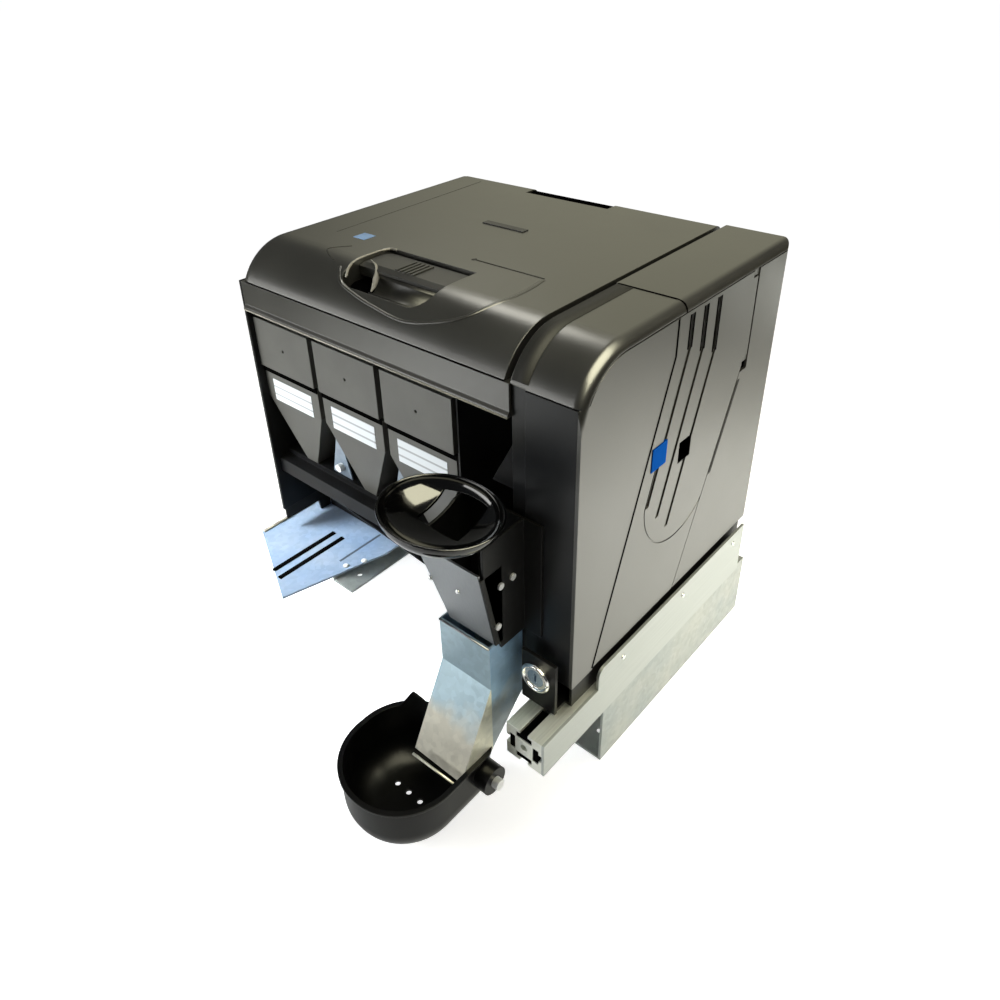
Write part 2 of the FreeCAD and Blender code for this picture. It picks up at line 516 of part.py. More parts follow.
def build_rear_cover():
    lean = "((door_rear_top - door_rear_foot) / (door_rear_bend - door_foot))"
    outer = prism("x", [("shoulder_rear + seam", "case_height"),
                        ("shoulder_rear + seam", "door_top + seam"),
                        ("rear_cover_edge", "door_top + seam"),
                        ("rear_cover_edge", "door_rear_bend - door_swing"),
                        (f"door_rear_top + seam - door_swing * {lean}", "door_rear_bend - door_swing"),
                        ("door_rear_foot + seam", "door_foot"),
                        ("case_depth", "door_foot"), ("case_depth",
                                                      "case_height")], tower_left, "case_width")
    rounded(outer, "edge_round", lambda edge: on_line(edge, x="case_width", z="case_height")
            or on_line(edge, x="case_width", y="case_depth"))
    inner = box((f"{tower_left} - wall", "door_front_top - wall", "door_foot + wall"),
                ("case_width - wall", "case_depth - wall", "case_height - wall"))
    ears = [box(("door_axis_x - door_barrel", "door_axis_y - door_barrel + seam", low),
                ("door_axis_x + door_barrel - button_gap", "rear_cover_edge + wall", high))
            for low, high in (("door_rear_bend", "door_rear_bend + door_ear"),
                              ("door_top - door_ear", "door_top"))]
    lip = [box(("hinge_cover", front, "door_rear_bend"),
               (right, "rear_cover_edge + wall", "door_top + seam"))
           for front, right in (("hinge_cover_front", "hinge_cover + wall"),
                                ("rear_cover_edge", "case_width - wall"))]
    rim_line = box(("case_width - rim_line", "rear_cover_edge", "door_top"),
                   ("case_width", "case_depth", "door_top + seam"))
    bore = rod("z", ("door_axis_x", "door_axis_y"), "door_rear_bend", "door_top", "door_pin")
    node("rear_cover", cut(joined(cut(outer, inner), *ears, *lip), bore, rim_line))
    node("door_hinge_pin",
         rod("z", ("door_axis_x", "door_axis_y"), "door_rear_bend", "door_top", "door_pin"))


# Fixed casing panels
def build_panels():
    node("left_panel", prism("x", frame("0", "0", "case_depth", "belt_line"), "0", "panel"))
    rear = prism("y", frame("panel", "0", tower_left, "rear_top"), "case_depth - panel", "case_depth")
    for index in range(sizes["vent_count"]):
        left = f"(vent_left + vent_pitch * {index})"
        pocket(rear, "y", frame(left, "vent_foot", f"{left} + vent_wide", "vent_top"),
               "case_depth - panel - wall", "case_depth + wall")
    pocket(rear, "y", frame("inlet_left", "inlet_foot", "inlet_left + inlet_wide",
                            "inlet_foot + inlet_tall"),
           "case_depth - panel - wall", "case_depth + wall")
    face = "(case_depth - panel)"
    posts = [rod("y", (x, z), f"{face} - standoff", face, "standoff_radius")
             for x in ("board_left + standoff", "board_right - standoff")
             for z in ("board_foot + standoff", "board_top - standoff")]
    node("rear_panel", joined(rear, *posts))
    beam = prism("x", [("-beam_lip", "beam_foot"), ("beam_lip + wall", "beam_foot"),
                       ("beam_lip + wall", "beam_foot + wall"), ("wall", "beam_foot + 2 * wall"),
                       ("wall", "belt_line - wall"), ("beam_return", "belt_line - wall"),
                       ("beam_return", "belt_line"), ("0", "belt_line"), ("0", "beam_foot + 2 * wall"),
                       ("-beam_lip", "beam_foot + wall")], "panel", tower_left)
    node("front_beam", beam)
    pan = box(("panel", "pan_front", "-pan_thick"), ("case_width - panel", "case_depth - panel", "0"))
    riser = box(("panel", "pan_front", "rail_top + tray_thick"),
                ("partition_left", "pan_front + pan_thick", "riser_top"))
    node("base_pan", joined(pan, riser))
    part = prism("x", frame("plate_front + plate_thick", "0", "case_depth - panel", "deck_z"),
                 "partition_left", "partition_left + partition_thick")
    pocket(part, "x", frame("slide_front - seam", "slide_low - slide_lip", "slide_rear + seam",
                            "slide_high"),
           "partition_left - wall", "partition_left + partition_thick + wall")
    node("partition", part)


# Three coin hoppers, each with its front plate, payout wheel and motor
def build_hoppers():
    rear = "(plate_front + plate_thick + hopper_depth)"
    wheel_front = f"({rear} + side_gap)"
    plate_face = f"({wheel_front} + wheel_thick + side_gap)"
    motor_face = f"({plate_face} + motor_plate)"
    motors, bores = [], []
    for index in range(3):
        middle = f"(hopper_first + hopper_pitch * {index})"
        left, right = f"{middle} - hopper_half", f"{middle} + hopper_half"
        plate = prism("y", frame(left, "plate_foot", right, "plate_top"), "plate_front",
                      "plate_front + plate_thick")
        hole = rod("y", (middle, "(plate_foot + plate_top) / 2"), "0", "plate_front + plate_thick",
                   "plate_screw")
        node(f"hopper_plate_{index + 1}", cut(plate, hole))
        node(f"hopper_bin_{index + 1}", hopper_bin(middle, rear))
        wheel = rod("y", (middle, "wheel_z"), wheel_front, f"{wheel_front} + wheel_thick", "wheel_radius")
        shaft = rod("y", (middle, "wheel_z"), wheel_front, f"{motor_face} + shaft_length", "shaft_radius")
        pockets = []
        for turn in range(3):
            x_turn = f"{middle} + wheel_orbit * cos({120 * turn + 90} deg)"
            z_turn = f"wheel_z + wheel_orbit * sin({120 * turn + 90} deg)"
            pockets.append(rod("y", (x_turn, z_turn), f"{wheel_front} - wall",
                               f"{wheel_front} + wheel_thick + wall",
                               "wheel_pocket"))
        node(f"payout_wheel_{index + 1}", cut(joined(wheel, shaft), *pockets))
        case = rod("y", (middle, "wheel_z"), motor_face, f"{motor_face} + motor_length", "motor_radius")
        bore = rod("y", (middle, "wheel_z"), motor_face, f"{motor_face} + shaft_length + wall",
                   "shaft_radius + running")
        motors.append(cut(case, bore))
        bores.append(rod("y", (middle, "wheel_z"), f"{plate_face} - wall", f"{motor_face} + wall",
                         "shaft_radius + side_gap"))
    node("hopper_motors", group(*motors))
    wall_plate = box(("panel", plate_face, "0"), ("partition_left", motor_face, "deck_z"))
    node("motor_plate", cut(wall_plate, *bores))
    seat = "(plate_front + plate_thick + funnel_lean)"
    node("hopper_cradle", prism("x", [
        ("cradle_front", "cradle_foot"), ("cradle_front + cradle_sheet", "cradle_foot"),
        ("cradle_front + cradle_sheet", "cradle_shelf - cradle_sheet"),
        (f"{seat} + cradle_sheet", "cradle_shelf - cradle_sheet"),
        (f"{seat} + cradle_sheet", "funnel_foot - cradle_sheet"),
        (f"{seat} + cradle_depth", "funnel_foot - cradle_sheet"), (f"{seat} + cradle_depth", "funnel_foot"),
        (seat, "funnel_foot"), (seat, "cradle_shelf"), ("cradle_front",
                                                        "cradle_shelf")], "panel", "partition_left"))
    wedges = []
    for index in range(2):
        middle = f"(hopper_first + hopper_pitch * ({index} + 1 / 2))"
        wedges.append(prism("y",
                            [(f"{middle} - divider_half", "funnel_foot"),
                             (f"{middle} + divider_half", "funnel_foot"),
                                  (middle, "divider_top")], "divider_y", "divider_y + sheet"))
    node("hopper_dividers", group(*wedges))


def hopper_bin(middle, rear):
    front = "(plate_front + plate_thick)"

    def section(inset):
        half, tip = f"(hopper_half - {inset})", f"(funnel_tip - {inset} / 2)"
        return [(f"{middle} - {half}", "funnel_top"), (f"{middle} - {tip}", f"funnel_foot + {inset}"),
                (f"{middle} + {tip}", f"funnel_foot + {inset}"), (f"{middle} + {half}", "funnel_top"),
                (f"{middle} + {half}", f"plate_top + {inset} - bin_gap"),
                (f"{middle} - {half}", f"plate_top + {inset} - bin_gap")]

    shell = prism("y", section("0"), front, rear)
    pocket(shell, "x", [(f"{front} - wall", "funnel_top"), (front, "funnel_top"),
                        (f"{front} + funnel_lean", "funnel_foot"), (f"{front} - wall", "funnel_foot")],
           f"{middle} - hopper_half", f"{middle} + hopper_half")
    pocket(shell, "y", section("hopper_wall"), f"{front} + funnel_lean + hopper_wall",
           f"{rear} - hopper_wall")
    pocket(shell, "y", frame(f"{middle} - hopper_half", "plate_foot - plate_line",
                             f"{middle} + hopper_half", "plate_foot"),
           front, f"{front} + plate_line_deep")
    opening = rod("y", (middle, "wheel_z"), f"{rear} - hopper_wall - wall", f"{rear} + wall",
                  "wheel_orbit + wheel_pocket")
    return cut(shell, opening)


# Sorting deck under the lid: drop apertures, and the transport belt that passes over them
def build_deck():
    deck = prism("z", frame("panel", "deck_front", "partition_left + partition_thick", "deck_rear"),
                 "deck_z", "deck_z + deck_thick")
    for index in range(3):
        middle = f"(hopper_first + hopper_pitch * {index})"
        pocket(deck, "z", frame(f"{middle} - drop_long / 2", "belt_y - drop_wide / 2",
                                f"{middle} + drop_long / 2",
                                "belt_y + drop_wide / 2"), "deck_z - wall", "deck_z + deck_thick + wall")
    node("sorting_deck", deck)
    near, far = "belt_y - belt_wide / 2", "belt_y + belt_wide / 2"
    deck_top = "(deck_z + deck_thick)"
    inside = "(pulley_radius + belt_clear)"
    outside = f"({inside} + belt_thick)"

    def loop(radius):
        low, high = f"belt_axis_z - {radius}", f"belt_axis_z + {radius}"
        return [("belt_right", low), (f"belt_right + {radius}", "belt_axis_z", radius),
                ("belt_right", high, radius),
                ("belt_left", high), (f"belt_left - {radius}", "belt_axis_z", radius),
                ("belt_left", low, radius)]

    belt = prism("y", loop(outside), near, far)
    node("transport_belt", pocket(belt, "y", loop(inside), f"{near} - wall", f"{far} + wall"))
    cheeks = []
    for name, x in (("idler", "belt_left"), ("drive", "belt_right")):
        drum = rod("y", (x, "belt_axis_z"), near, far, "pulley_radius")
        axle = rod("y", (x, "belt_axis_z"), f"{near} - bracket_thick - side_gap",
                   f"{far} + bracket_thick + side_gap", "shaft_radius")
        node(f"belt_{name}_pulley", joined(drum, axle))
        bore = rod("y", (x, "belt_axis_z"), f"{near} - 2 * bracket_thick", f"{far} + 2 * bracket_thick",
                   "shaft_radius + running")
        for edge in (f"{near} - bracket_thick - side_gap", f"{far} + side_gap"):
            cheek = box((f"{x} - pulley_radius", edge, deck_top),
                        (f"{x} + pulley_radius", f"{edge} + bracket_thick", "belt_axis_z + pulley_radius"))
            cheeks.append(cut(cheek, bore))
    node("belt_brackets", group(*cheeks))
    motor_front = f"({far} + side_gap + bracket_thick + seam)"
    motor = rod("y", ("belt_right", "belt_axis_z"), motor_front, f"{motor_front} + belt_motor_length",
                "belt_motor_radius")
    node("belt_motor", motor)


# Coin feed wheel behind the side door
def build_feed():
    back = "(partition_left + partition_thick)"
    axle = ("feed_y", "feed_z")
    disc = rod("x", axle, "feed_x", "feed_x + feed_thick", "feed_radius")
    shaft = rod("x", axle, "feed_x - feed_shaft_length", "feed_x", "feed_shaft")
    holes = []
    for index in range(sizes["feed_count"]):
        angle = 360 / sizes["feed_count"] * index
        holes.append(rod("x",
                         (f"feed_y + feed_orbit * cos({angle} deg)",
                          f"feed_z + feed_orbit * sin({angle} deg)"),
                         "feed_x - wall", "feed_x + feed_thick + wall", "feed_hole"))
    node("feed_wheel", cut(joined(disc, shaft), *holes))
    motor = rod("x", axle, back, "feed_x - seam", "feed_motor_radius")
    bore = rod("x", axle, "feed_x - feed_shaft_length - wall", "feed_x", "feed_shaft + running")
    node("feed_motor", cut(motor, bore))


# Payout: slide inside, galvanised chute outside and the cup below it
def build_payout():
    high, low = "(slide_high - slide_lip)", "(slide_low - slide_lip)"
    node("payout_slide", prism("y", [("panel", f"{high} - sheet"), (tower_left, f"{low} - sheet / 2"),
                                     (tower_left, f"{low} + sheet / 2"), ("panel", high)],
                               "slide_front", "slide_rear"))
    left, right = "chute_left", "(chute_left + chute_width)"
    outer = [("chute_front", "chute_top"), ("chute_front", "chute_knee"), ("chute_end_front", "chute_end"),
             ("chute_end_back", "chute_end_low"), ("chute_back", "chute_knee_back"),
             ("chute_back", "chute_top")]
    inner = [("chute_front + sheet", "chute_top + wall"), ("chute_front + sheet", "chute_knee"),
             ("chute_end_front + mitre - wall", "chute_end - wall * 2"),
             ("chute_end_back - mitre - wall", "chute_end_low - wall * 2"),
             ("chute_back - sheet", "chute_knee_back"), ("chute_back - sheet", "chute_top + wall")]
    window = box((f"{left} + window_side", "chute_back - 2 * sheet", "window_foot"),
                 (f"{right} - window_side", "chute_back + sheet", "window_top"))
    node("payout_chute",
         cut(prism("x", outer, left, right), prism("x", inner, f"{left} + sheet", f"{right} - sheet"),
             window))
    node("payout_cup", build_cup())


def cup_outline(inset):
    left, right = f"(cup_left + {inset})", f"(cup_right - {inset})"
    front, back = f"(cup_front + {inset})", f"(cup_back - {inset})"
    bend, corner = f"(cup_round - {inset})", f"(cup_corner - {inset})"
    return [(f"{left} + {bend}", front, bend), (f"{right} - {bend}", front),
            (right, f"{front} + {bend}", bend), (right, f"{back} - {corner}"),
            (f"{right} - {corner}", back, corner), (f"{left} + {bend}", back),
            (left, f"{back} - {bend}", bend), (left, f"{front} + {bend}")]


def tub(inset, foot):
    body = prism("z", cup_outline(inset), foot, "cup_rim")
    return rounded(body, f"cup_floor_round - {inset}", lambda edge: on_line(edge, z=foot))


def build_cup():
    lip = prism("z", cup_outline("(-cup_lip)"), "cup_rim - cup_lip", "cup_rim")
    wall_above = cut(prism("z", cup_outline("0"), "cup_rim", "horn_top"),
                     prism("z", cup_outline("cup_wall"), "cup_rim", "horn_top"))
    point = prism("y", [("horn_left", "cup_rim"), ("horn_left + horn_wide", "cup_rim"),
                        ("horn_peak", "horn_top")], "cup_back - cup_round", "cup_back")
    boss = rod("x", ("cup_boss_y", "cup_boss_z"), "cup_right - cup_wall", "cup_right + cup_boss",
               "cup_boss_radius")
    chute_room = box(("chute_left - cup_fit", "cup_back - cup_corner", "cup_rim - cup_notch"),
                     ("chute_left + chute_width + cup_fit", "cup_back + cup_lip", "cup_rim + wall"))
    drains = [rod("z", (f"drain_first + drain_pitch * {index}", "drain_y"), "cup_foot",
                  "cup_foot + cup_wall + cup_lip", "drain_radius") for index in range(3)]
    shell = cut(joined(tub("0", "cup_foot"), lip), tub("cup_wall", "(cup_foot + cup_wall)"))
    return cut(joined(shell, shared(wall_above, point), boss), chute_room, *drains)


# Inlet bowl on its bracket
def build_inlet():
    centre = ("bowl_x", "bowl_y", "bowl_rim")
    outer = half_bowl(centre, "bowl_half_wide", "bowl_half_deep", "bowl_depth")
    inner = half_bowl(centre, "bowl_half_wide - bowl_wall", "bowl_half_deep - bowl_wall",
                      "bowl_depth - bowl_wall")
    mouth = box(("mouth_left", "bowl_y", "mouth_foot"),
                ("mouth_right", "bowl_y + bowl_half_deep", "mouth_top"))
    node("inlet_bowl", cut(outer, inner, mouth))
    left, right = "(chute_left - stay_thick)", "(chute_left + chute_width)"
    room = half_bowl(centre, "bowl_half_wide + cup_fit", "bowl_half_deep + cup_fit", "bowl_depth + cup_fit")
    cheeks = [prism("x",
                    [("0", "stay_foot"), ("0", "stay_top"), ("stay_front", "stay_top"),
                     ("stay_front", "plate_high"),
                          ("stay_foot_front", "stay_foot")], x, f"{x} + stay_thick") for x in (left, right)]
    back = box((left, "stay_back", "stay_foot"), ("stay_flange", "0", "stay_top"))
    window = box(("chute_left + window_side", "stay_back", "stay_foot + window_side"),
                 (f"{right} - window_side", "0", "plate_high - window_side"))
    node("bowl_bracket", cut(joined(back, *cheeks), room, window))
    foot = "(chute_front + plate_in)"
    slab = prism("x", [("plate_high_front", "plate_high"), (foot, "chute_top"),
                       (f"{foot} + stay_thick", "chute_top"),
                       ("plate_high_front + stay_thick", "plate_high")],
                 "chute_left - plate_flare", right)
    outline = prism("y", [("chute_left + plate_in", "chute_top"), (right, "chute_top"),
                          (right, "plate_high"), ("chute_left - plate_flare", "plate_high")],
                    "plate_high_front", "stay_back")
    node("return_plate", shared(slab, outline))
    heads = [rod("x", ("cup_boss_y", "cup_boss_z"), "cup_right + cup_boss",
                 "cup_right + cup_boss + cup_screw_long", "cup_screw")]
    for y, z in (("rivet_high_front", "rivet_high"), ("rivet_high_rear", "rivet_high"),
                 ("rivet_low_y", "rivet_low")):
        heads.append(rod("x", (y, z), f"{right} + stay_thick", f"{right} + stay_thick + rivet_head",
                         "rivet_radius"))
    for index in range(2):
        middle = f"hopper_first + hopper_pitch * ({index} + 1 / 2)"
        heads.append(rod("y", (middle, "divider_bolt_z"), "divider_y - divider_bolt_long", "divider_y",
                         "divider_bolt"))
    node("bracket_fasteners", group(*heads))
    guide = prism("y", [("guide_left", "guide_foot"), (tower_left, "guide_foot"),
                        (tower_left, "guide_top")],
                  "tower_step_deep + trim", "tower_step_deep + trim + guide_thick")
    node("inlet_guide", guide)


# Rails under the casing, the front tray and the fixed base
def rail_section(x, z):
    quarter = [("q", "q"), ("w", "q"), ("w", "q - lip"), ("c", "q - lip"), ("c", "q - lip - d"),
               ("-c", "q - lip - d"),
               ("-c", "q - lip"), ("-w", "q - lip"), ("-w", "q")]
    words = {"q": "(rail_size / 2)", "w": "rail_slot", "lip": "rail_lip", "c": "rail_cavity",
             "d": "rail_deep"}

    def spelled(text):
        return "(" + re.sub(r"[a-z]+", lambda word: words[word[0]], text) + ")"

    corners = []
    for turn in range(4):
        for u, v in quarter:
            u, v = spelled(u), spelled(v)
            across, up = [(u, v), (f"-{v}", u), (f"-{u}", f"-{v}"), (v, f"-{u}")][turn]
            corners.append((f"{x} + {across}", f"{z} + {up}"))
    return corners


def build_rails():
    middle_z = "(rail_top - rail_size / 2)"
    fences, beams = [], []
    for name, left, front in (("left", "rail_left_x", "rail_left_front"),
                              ("right", "rail_right_x", "rail_front")):
        middle = f"({left} + rail_size / 2)"
        profile = prism("y", rail_section(middle, middle_z), front, "rail_rear")
        node(f"rail_{name}", cut(profile, rod("y", (middle, middle_z), front, "rail_rear", "rail_bore")))
        outside = left if name == "left" else f"({left} + rail_size)"
        inner_face = f"({outside} - fence_thick)" if name == "left" else outside
        step = "pan_front" if name == "left" else "fence_step"
        fence = prism("x", [(front, "rail_top - rail_size"), ("rail_rear", "rail_top - rail_size"),
                            ("rail_rear", "fence_top"), (f"{step} + fence_round", "fence_top"),
                            (step, "fence_top - fence_round", "fence_round"), (step, "rail_top"),
                            (front, "rail_top")], inner_face, f"{inner_face} + fence_thick")
        fences.append(fence)
        foot = "(rail_top + tray_thick)" if name == "left" else "rail_top"
        start = "pan_front + pan_thick" if name == "left" else "beam_front"
        beam_left = f"({middle} - beam_side / 2)"
        tube = prism("y", frame(beam_left, foot, f"{beam_left} + beam_side", "-pan_thick"), start,
                     "beam_rear")
        hollow = frame(f"{beam_left} + beam_wall", f"{foot} + beam_wall",
                       f"{beam_left} + beam_side - beam_wall", "-pan_thick - beam_wall")
        beams.append(pocket(tube, "y", hollow, f"{start} - wall", "beam_rear + wall"))
    node("rail_fences", group(*fences))
    node("side_beams", group(*beams))
    tray = prism("z", [("tray_left", "tray_side_front"), ("tray_tip", "tray_front"),
                       ("tray_right", "tray_right_front"),
                       ("tray_right", "tray_rear"), ("rail_left_x", "tray_rear"),
                       ("rail_left_x", "pan_front - seam"),
                       ("tray_left", "pan_front - seam")], "rail_top", "rail_top + tray_thick")
    for index in range(2):
        left = f"(tray_slot_left + tray_slot_pitch * {index})"
        pocket(tray, "z", frame(left, "tray_slot_front", f"{left} + tray_slot_wide", "tray_slot_rear"),
               "rail_top - wall", "rail_top + tray_thick + wall")
    pocket(tray, "z", frame("tray_groove_left", "tray_groove_front",
                            "tray_groove_left + tray_groove_wide", "tray_groove_rear"),
           "rail_top + tray_thick / 2", "rail_top + tray_thick + wall")
    holes = [rod("z", (f"tray_hole_x + tray_hole_pitch / 2 * {index}",
                       f"tray_hole_y + tray_hole_pitch * {index}"),
                 "rail_top", "rail_top + tray_thick", "tray_hole") for index in range(2)]
    node("front_tray", cut(tray, *holes))


def build_base():
    top = "(rail_top - rail_size)"
    glide_foot = f"({top} + rail_lip + glide_clear)"
    glides = []
    for left, near, inside, hole_x in (
            ("rail_left_x", "rail_left_x", "(rail_left_x + base_sheet)",
             "rail_left_x + base_flange - foot_hole_in"),
            ("rail_right_x", "(rail_right_x + rail_size - base_flange)",
             "(rail_right_x + rail_size - base_flange - wall)",
             "rail_right_x + rail_size - base_flange + foot_hole_in")):
        middle = f"({left} + rail_size / 2)"
        channel = prism("y", frame(near, "floor_z", f"{near} + base_flange", top),
                        "base_front", "base_rear")
        pocket(channel, "y", frame(inside, "floor_z + base_sheet",
                                   f"{inside} + base_flange - base_sheet + wall", f"{top} - base_sheet"),
               "base_front - wall", "base_rear + wall")
        holes = [rod("z", (hole_x, y), "floor_z - wall", "floor_z + base_sheet + wall", "foot_hole")
                 for y in ("base_front + foot_hole_end", "base_rear - foot_hole_end")]
        node(left.replace("rail", "base_channel").removesuffix("_x"), cut(channel, *holes))
        for y in ("base_front + glide_clear", "rail_rear - glide_clear - glide_long"):
            neck = box((f"{middle} - glide_neck", y, top),
                       (f"{middle} + glide_neck", f"{y} + glide_long", glide_foot))
            head = box((f"{middle} - glide_head", y, glide_foot),
                       (f"{middle} + glide_head", f"{y} + glide_long", f"{glide_foot} + glide_head_tall"))
            glides.append(joined(neck, head))
    node("rail_glides", group(*glides))
    shelf = "(floor_z + base_sheet)"
    upper = f"({shelf} + base_sheet)"
    crest = f"({shelf} + tie_tall)"
    node("base_tie", prism("x", [("tie_front", shelf), ("tie_rear", shelf), ("tie_rear", crest),
                                 ("tie_rear - base_sheet", crest), ("tie_rear - base_sheet", upper),
                                 ("tie_front", upper)],
                           "rail_left_x + base_sheet", "rail_right_x + rail_size - base_sheet"))


# Key lock whose cam reaches the right rail
def build_lock():
    axis = ("lock_x", "lock_z")
    ring_back = "(lock_front + lock_ring_thick)"
    plate_back = f"({ring_back} + lock_plate_thick)"
    plate = prism("y", frame("lock_plate_left", "rail_top", "lock_plate_right", "lock_plate_top"),
                  ring_back, plate_back)
    foot = box(("lock_plate_left + seam", plate_back, "rail_top"),
               ("lock_plate_right - seam", "beam_front", "rail_top + lock_plate_thick"))
    hole = rod("y", axis, f"{ring_back} - wall", f"{plate_back} + wall", "lock_body")
    node("lock_bracket", cut(joined(plate, foot), hole))
    ring = rod("y", axis, "lock_front", ring_back, "lock_ring")
    shell = rod("y", axis, ring_back, "lock_front + lock_length - cam_thick - seam", "lock_body")
    bore = rod("y", axis, "lock_front - wall", "lock_front + lock_length", "lock_plug + running")
    node("lock_housing", cut(joined(ring, shell), bore))
    plug = rod("y", axis, "lock_front", "lock_front + lock_length", "lock_plug")
    slot = box(("lock_x - key_wide / 2", "lock_front - wall", "lock_z - key_tall / 2"),
               ("lock_x + key_wide / 2", "lock_front + key_deep", "lock_z + key_tall / 2"))
    cam = box(("lock_x - cam_wide / 2", "lock_front + lock_length - cam_thick", "lock_z - cam_long"),
              ("lock_x + cam_wide / 2", "lock_front + lock_length", "lock_z + cam_tail"))
    node("lock_plug", cut(joined(plug, cam), slot))


# Power supply, control board and the power inlet at the back
def build_electronics():
    node("power_supply",
         box(("supply_left", "supply_front", "0"), ("supply_right", "supply_rear", "supply_tall")))
    face = "(case_depth - panel)"
    middle, level = "(inlet_left + inlet_wide / 2)", "(inlet_foot + inlet_tall / 2)"
    shell = box(("inlet_left", f"{face} - inlet_deep", "inlet_foot"),
                ("inlet_left + inlet_wide", "case_depth", "inlet_foot + inlet_tall"))
    well = box(("inlet_left + inlet_rim", "case_depth - inlet_well", "inlet_foot + inlet_rim / 2"),
               ("inlet_left + inlet_wide - inlet_rim", "case_depth",
                "inlet_foot + inlet_tall - inlet_rim / 2"))
    pins = [box((f"{middle} + {index} * inlet_rim - inlet_pin / 2", "case_depth - inlet_well",
                 f"{level} - inlet_pin_tall / 2"),
                (f"{middle} + {index} * inlet_rim + inlet_pin / 2", f"{face}",
                 f"{level} + inlet_pin_tall / 2"))
            for index in (-1, 0, 1)]
    node("power_inlet", joined(cut(shell, well), *pins))
    node("control_board", box(("board_left", f"{face} - standoff - board_thick", "board_foot"),
                              ("board_right", f"{face} - standoff", "board_top")))


for build in (build_lid, build_paddle, build_lid_hinge, build_tower, build_door, build_door_button,
              build_rear_cover, build_panels, build_hoppers, build_deck, build_feed, build_payout,
              build_inlet, build_rails, build_base, build_lock, build_electronics):
    build()
doc.recompute()

failed = [item.Label for item in doc.Objects if "Invalid" in item.State or "Error" in item.State]
bad = [name for name, item in nodes.items() if item.Shape.isNull() or not item.Shape.isValid()]
if failed or bad:
    raise RuntimeError(f"failed objects {failed}, bad shapes {bad}")
os.makedirs("parts", exist_ok=True)
for name, item in nodes.items():
    item.Shape.exportStep(f"parts/{name}.step")
    print(name, len(item.Shape.Solids), round(item.Shape.Volume))
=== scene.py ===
import json
import math

import bmesh
import bpy
from mathutils import Matrix, Vector


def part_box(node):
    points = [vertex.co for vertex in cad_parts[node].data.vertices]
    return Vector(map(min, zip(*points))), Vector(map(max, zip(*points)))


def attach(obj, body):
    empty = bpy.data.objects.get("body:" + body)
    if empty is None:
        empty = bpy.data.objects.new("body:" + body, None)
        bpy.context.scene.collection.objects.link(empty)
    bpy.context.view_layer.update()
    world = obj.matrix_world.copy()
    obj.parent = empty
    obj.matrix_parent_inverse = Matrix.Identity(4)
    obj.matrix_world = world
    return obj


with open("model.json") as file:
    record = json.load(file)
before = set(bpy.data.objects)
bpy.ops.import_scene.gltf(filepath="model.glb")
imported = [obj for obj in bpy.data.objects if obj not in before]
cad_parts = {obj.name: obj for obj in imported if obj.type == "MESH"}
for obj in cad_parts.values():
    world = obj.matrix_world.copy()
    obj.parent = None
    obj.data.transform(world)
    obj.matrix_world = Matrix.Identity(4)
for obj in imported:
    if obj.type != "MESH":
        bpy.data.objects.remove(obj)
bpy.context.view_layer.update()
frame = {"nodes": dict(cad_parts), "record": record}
nodes = frame["nodes"]
mm = 0.001
print("frame loaded with", len(nodes), "nodes")


# Places are in millimetres from the casing's lower front left corner, which is the left panel's own
casingCorner = Vector(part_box("left_panel")[0])


def spot(x, y, z):
    return casingCorner + Vector((x, y, z)) * mm


def nodeBox(name):
    return [(Vector(corner) - casingCorner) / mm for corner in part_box(name)]


# Materials are made of noise in object space, so that a finish runs on over the pieces of one body
# The sizes of their patterns are in millimetres
patterns = {"cloud": 60, "spangle": 5, "ripple": 22, "streak": 1.2, "fibre": 0.6}


def startMaterial(name):
    material = bpy.data.materials.new(name)
    material.use_nodes = True
    tree = material.node_tree
    shader = tree.nodes["Principled BSDF"]
    coords = tree.nodes.new("ShaderNodeTexCoord")
    return material, tree, shader, coords


def noiseNode(tree, coords, size, stretch=(1, 1, 1), detail=3.0, rough=0.55):
    mapping = tree.nodes.new("ShaderNodeMapping")
    mapping.inputs["Scale"].default_value = [1 / (size * mm * s) for s in stretch]
    noise = tree.nodes.new("ShaderNodeTexNoise")
    noise.inputs["Scale"].default_value = 1.0
    noise.inputs["Detail"].default_value = detail
    noise.inputs["Roughness"].default_value = rough
    tree.links.new(coords.outputs["Object"], mapping.inputs["Vector"])
    tree.links.new(mapping.outputs["Vector"], noise.inputs["Vector"])
    return noise


def rampNode(tree, source, low, high, start=0.3, end=0.7):
    ramp = tree.nodes.new("ShaderNodeValToRGB")
    ramp.color_ramp.elements[0].position = start
    ramp.color_ramp.elements[0].color = (*low, 1)
    ramp.color_ramp.elements[1].position = end
    ramp.color_ramp.elements[1].color = (*high, 1)
    tree.links.new(source, ramp.inputs["Fac"])
    return ramp


def spreadNode(tree, source, low, high, start=0.0, end=1.0):
    spread = tree.nodes.new("ShaderNodeMapRange")
    spread.inputs["From Min"].default_value = start
    spread.inputs["From Max"].default_value = end
    spread.inputs["To Min"].default_value = low
    spread.inputs["To Max"].default_value = high
    tree.links.new(source, spread.inputs["Value"])
    return spread


def mathNode(tree, operation, first, second):
    node = tree.nodes.new("ShaderNodeMath")
    node.operation = operation
    tree.links.new(first, node.inputs[0])
    tree.links.new(second, node.inputs[1])
    return node.outputs["Value"]


# Relief on a surface whose sharp edges are softened over a small radius
def reliefNode(tree, source, shader, strength, depth, edge=0.0):
    bump = tree.nodes.new("ShaderNodeBump")
    bump.inputs["Strength"].default_value = strength
    bump.inputs["Distance"].default_value = depth * mm
    tree.links.new(source, bump.inputs["Height"])
    tree.links.new(bump.outputs["Normal"], shader.inputs["Normal"])
    if edge:
        bevel = tree.nodes.new("ShaderNodeBevel")
        bevel.samples = 4
        bevel.inputs["Radius"].default_value = edge * mm
        tree.links.new(bevel.outputs["Normal"], bump.inputs["Normal"])


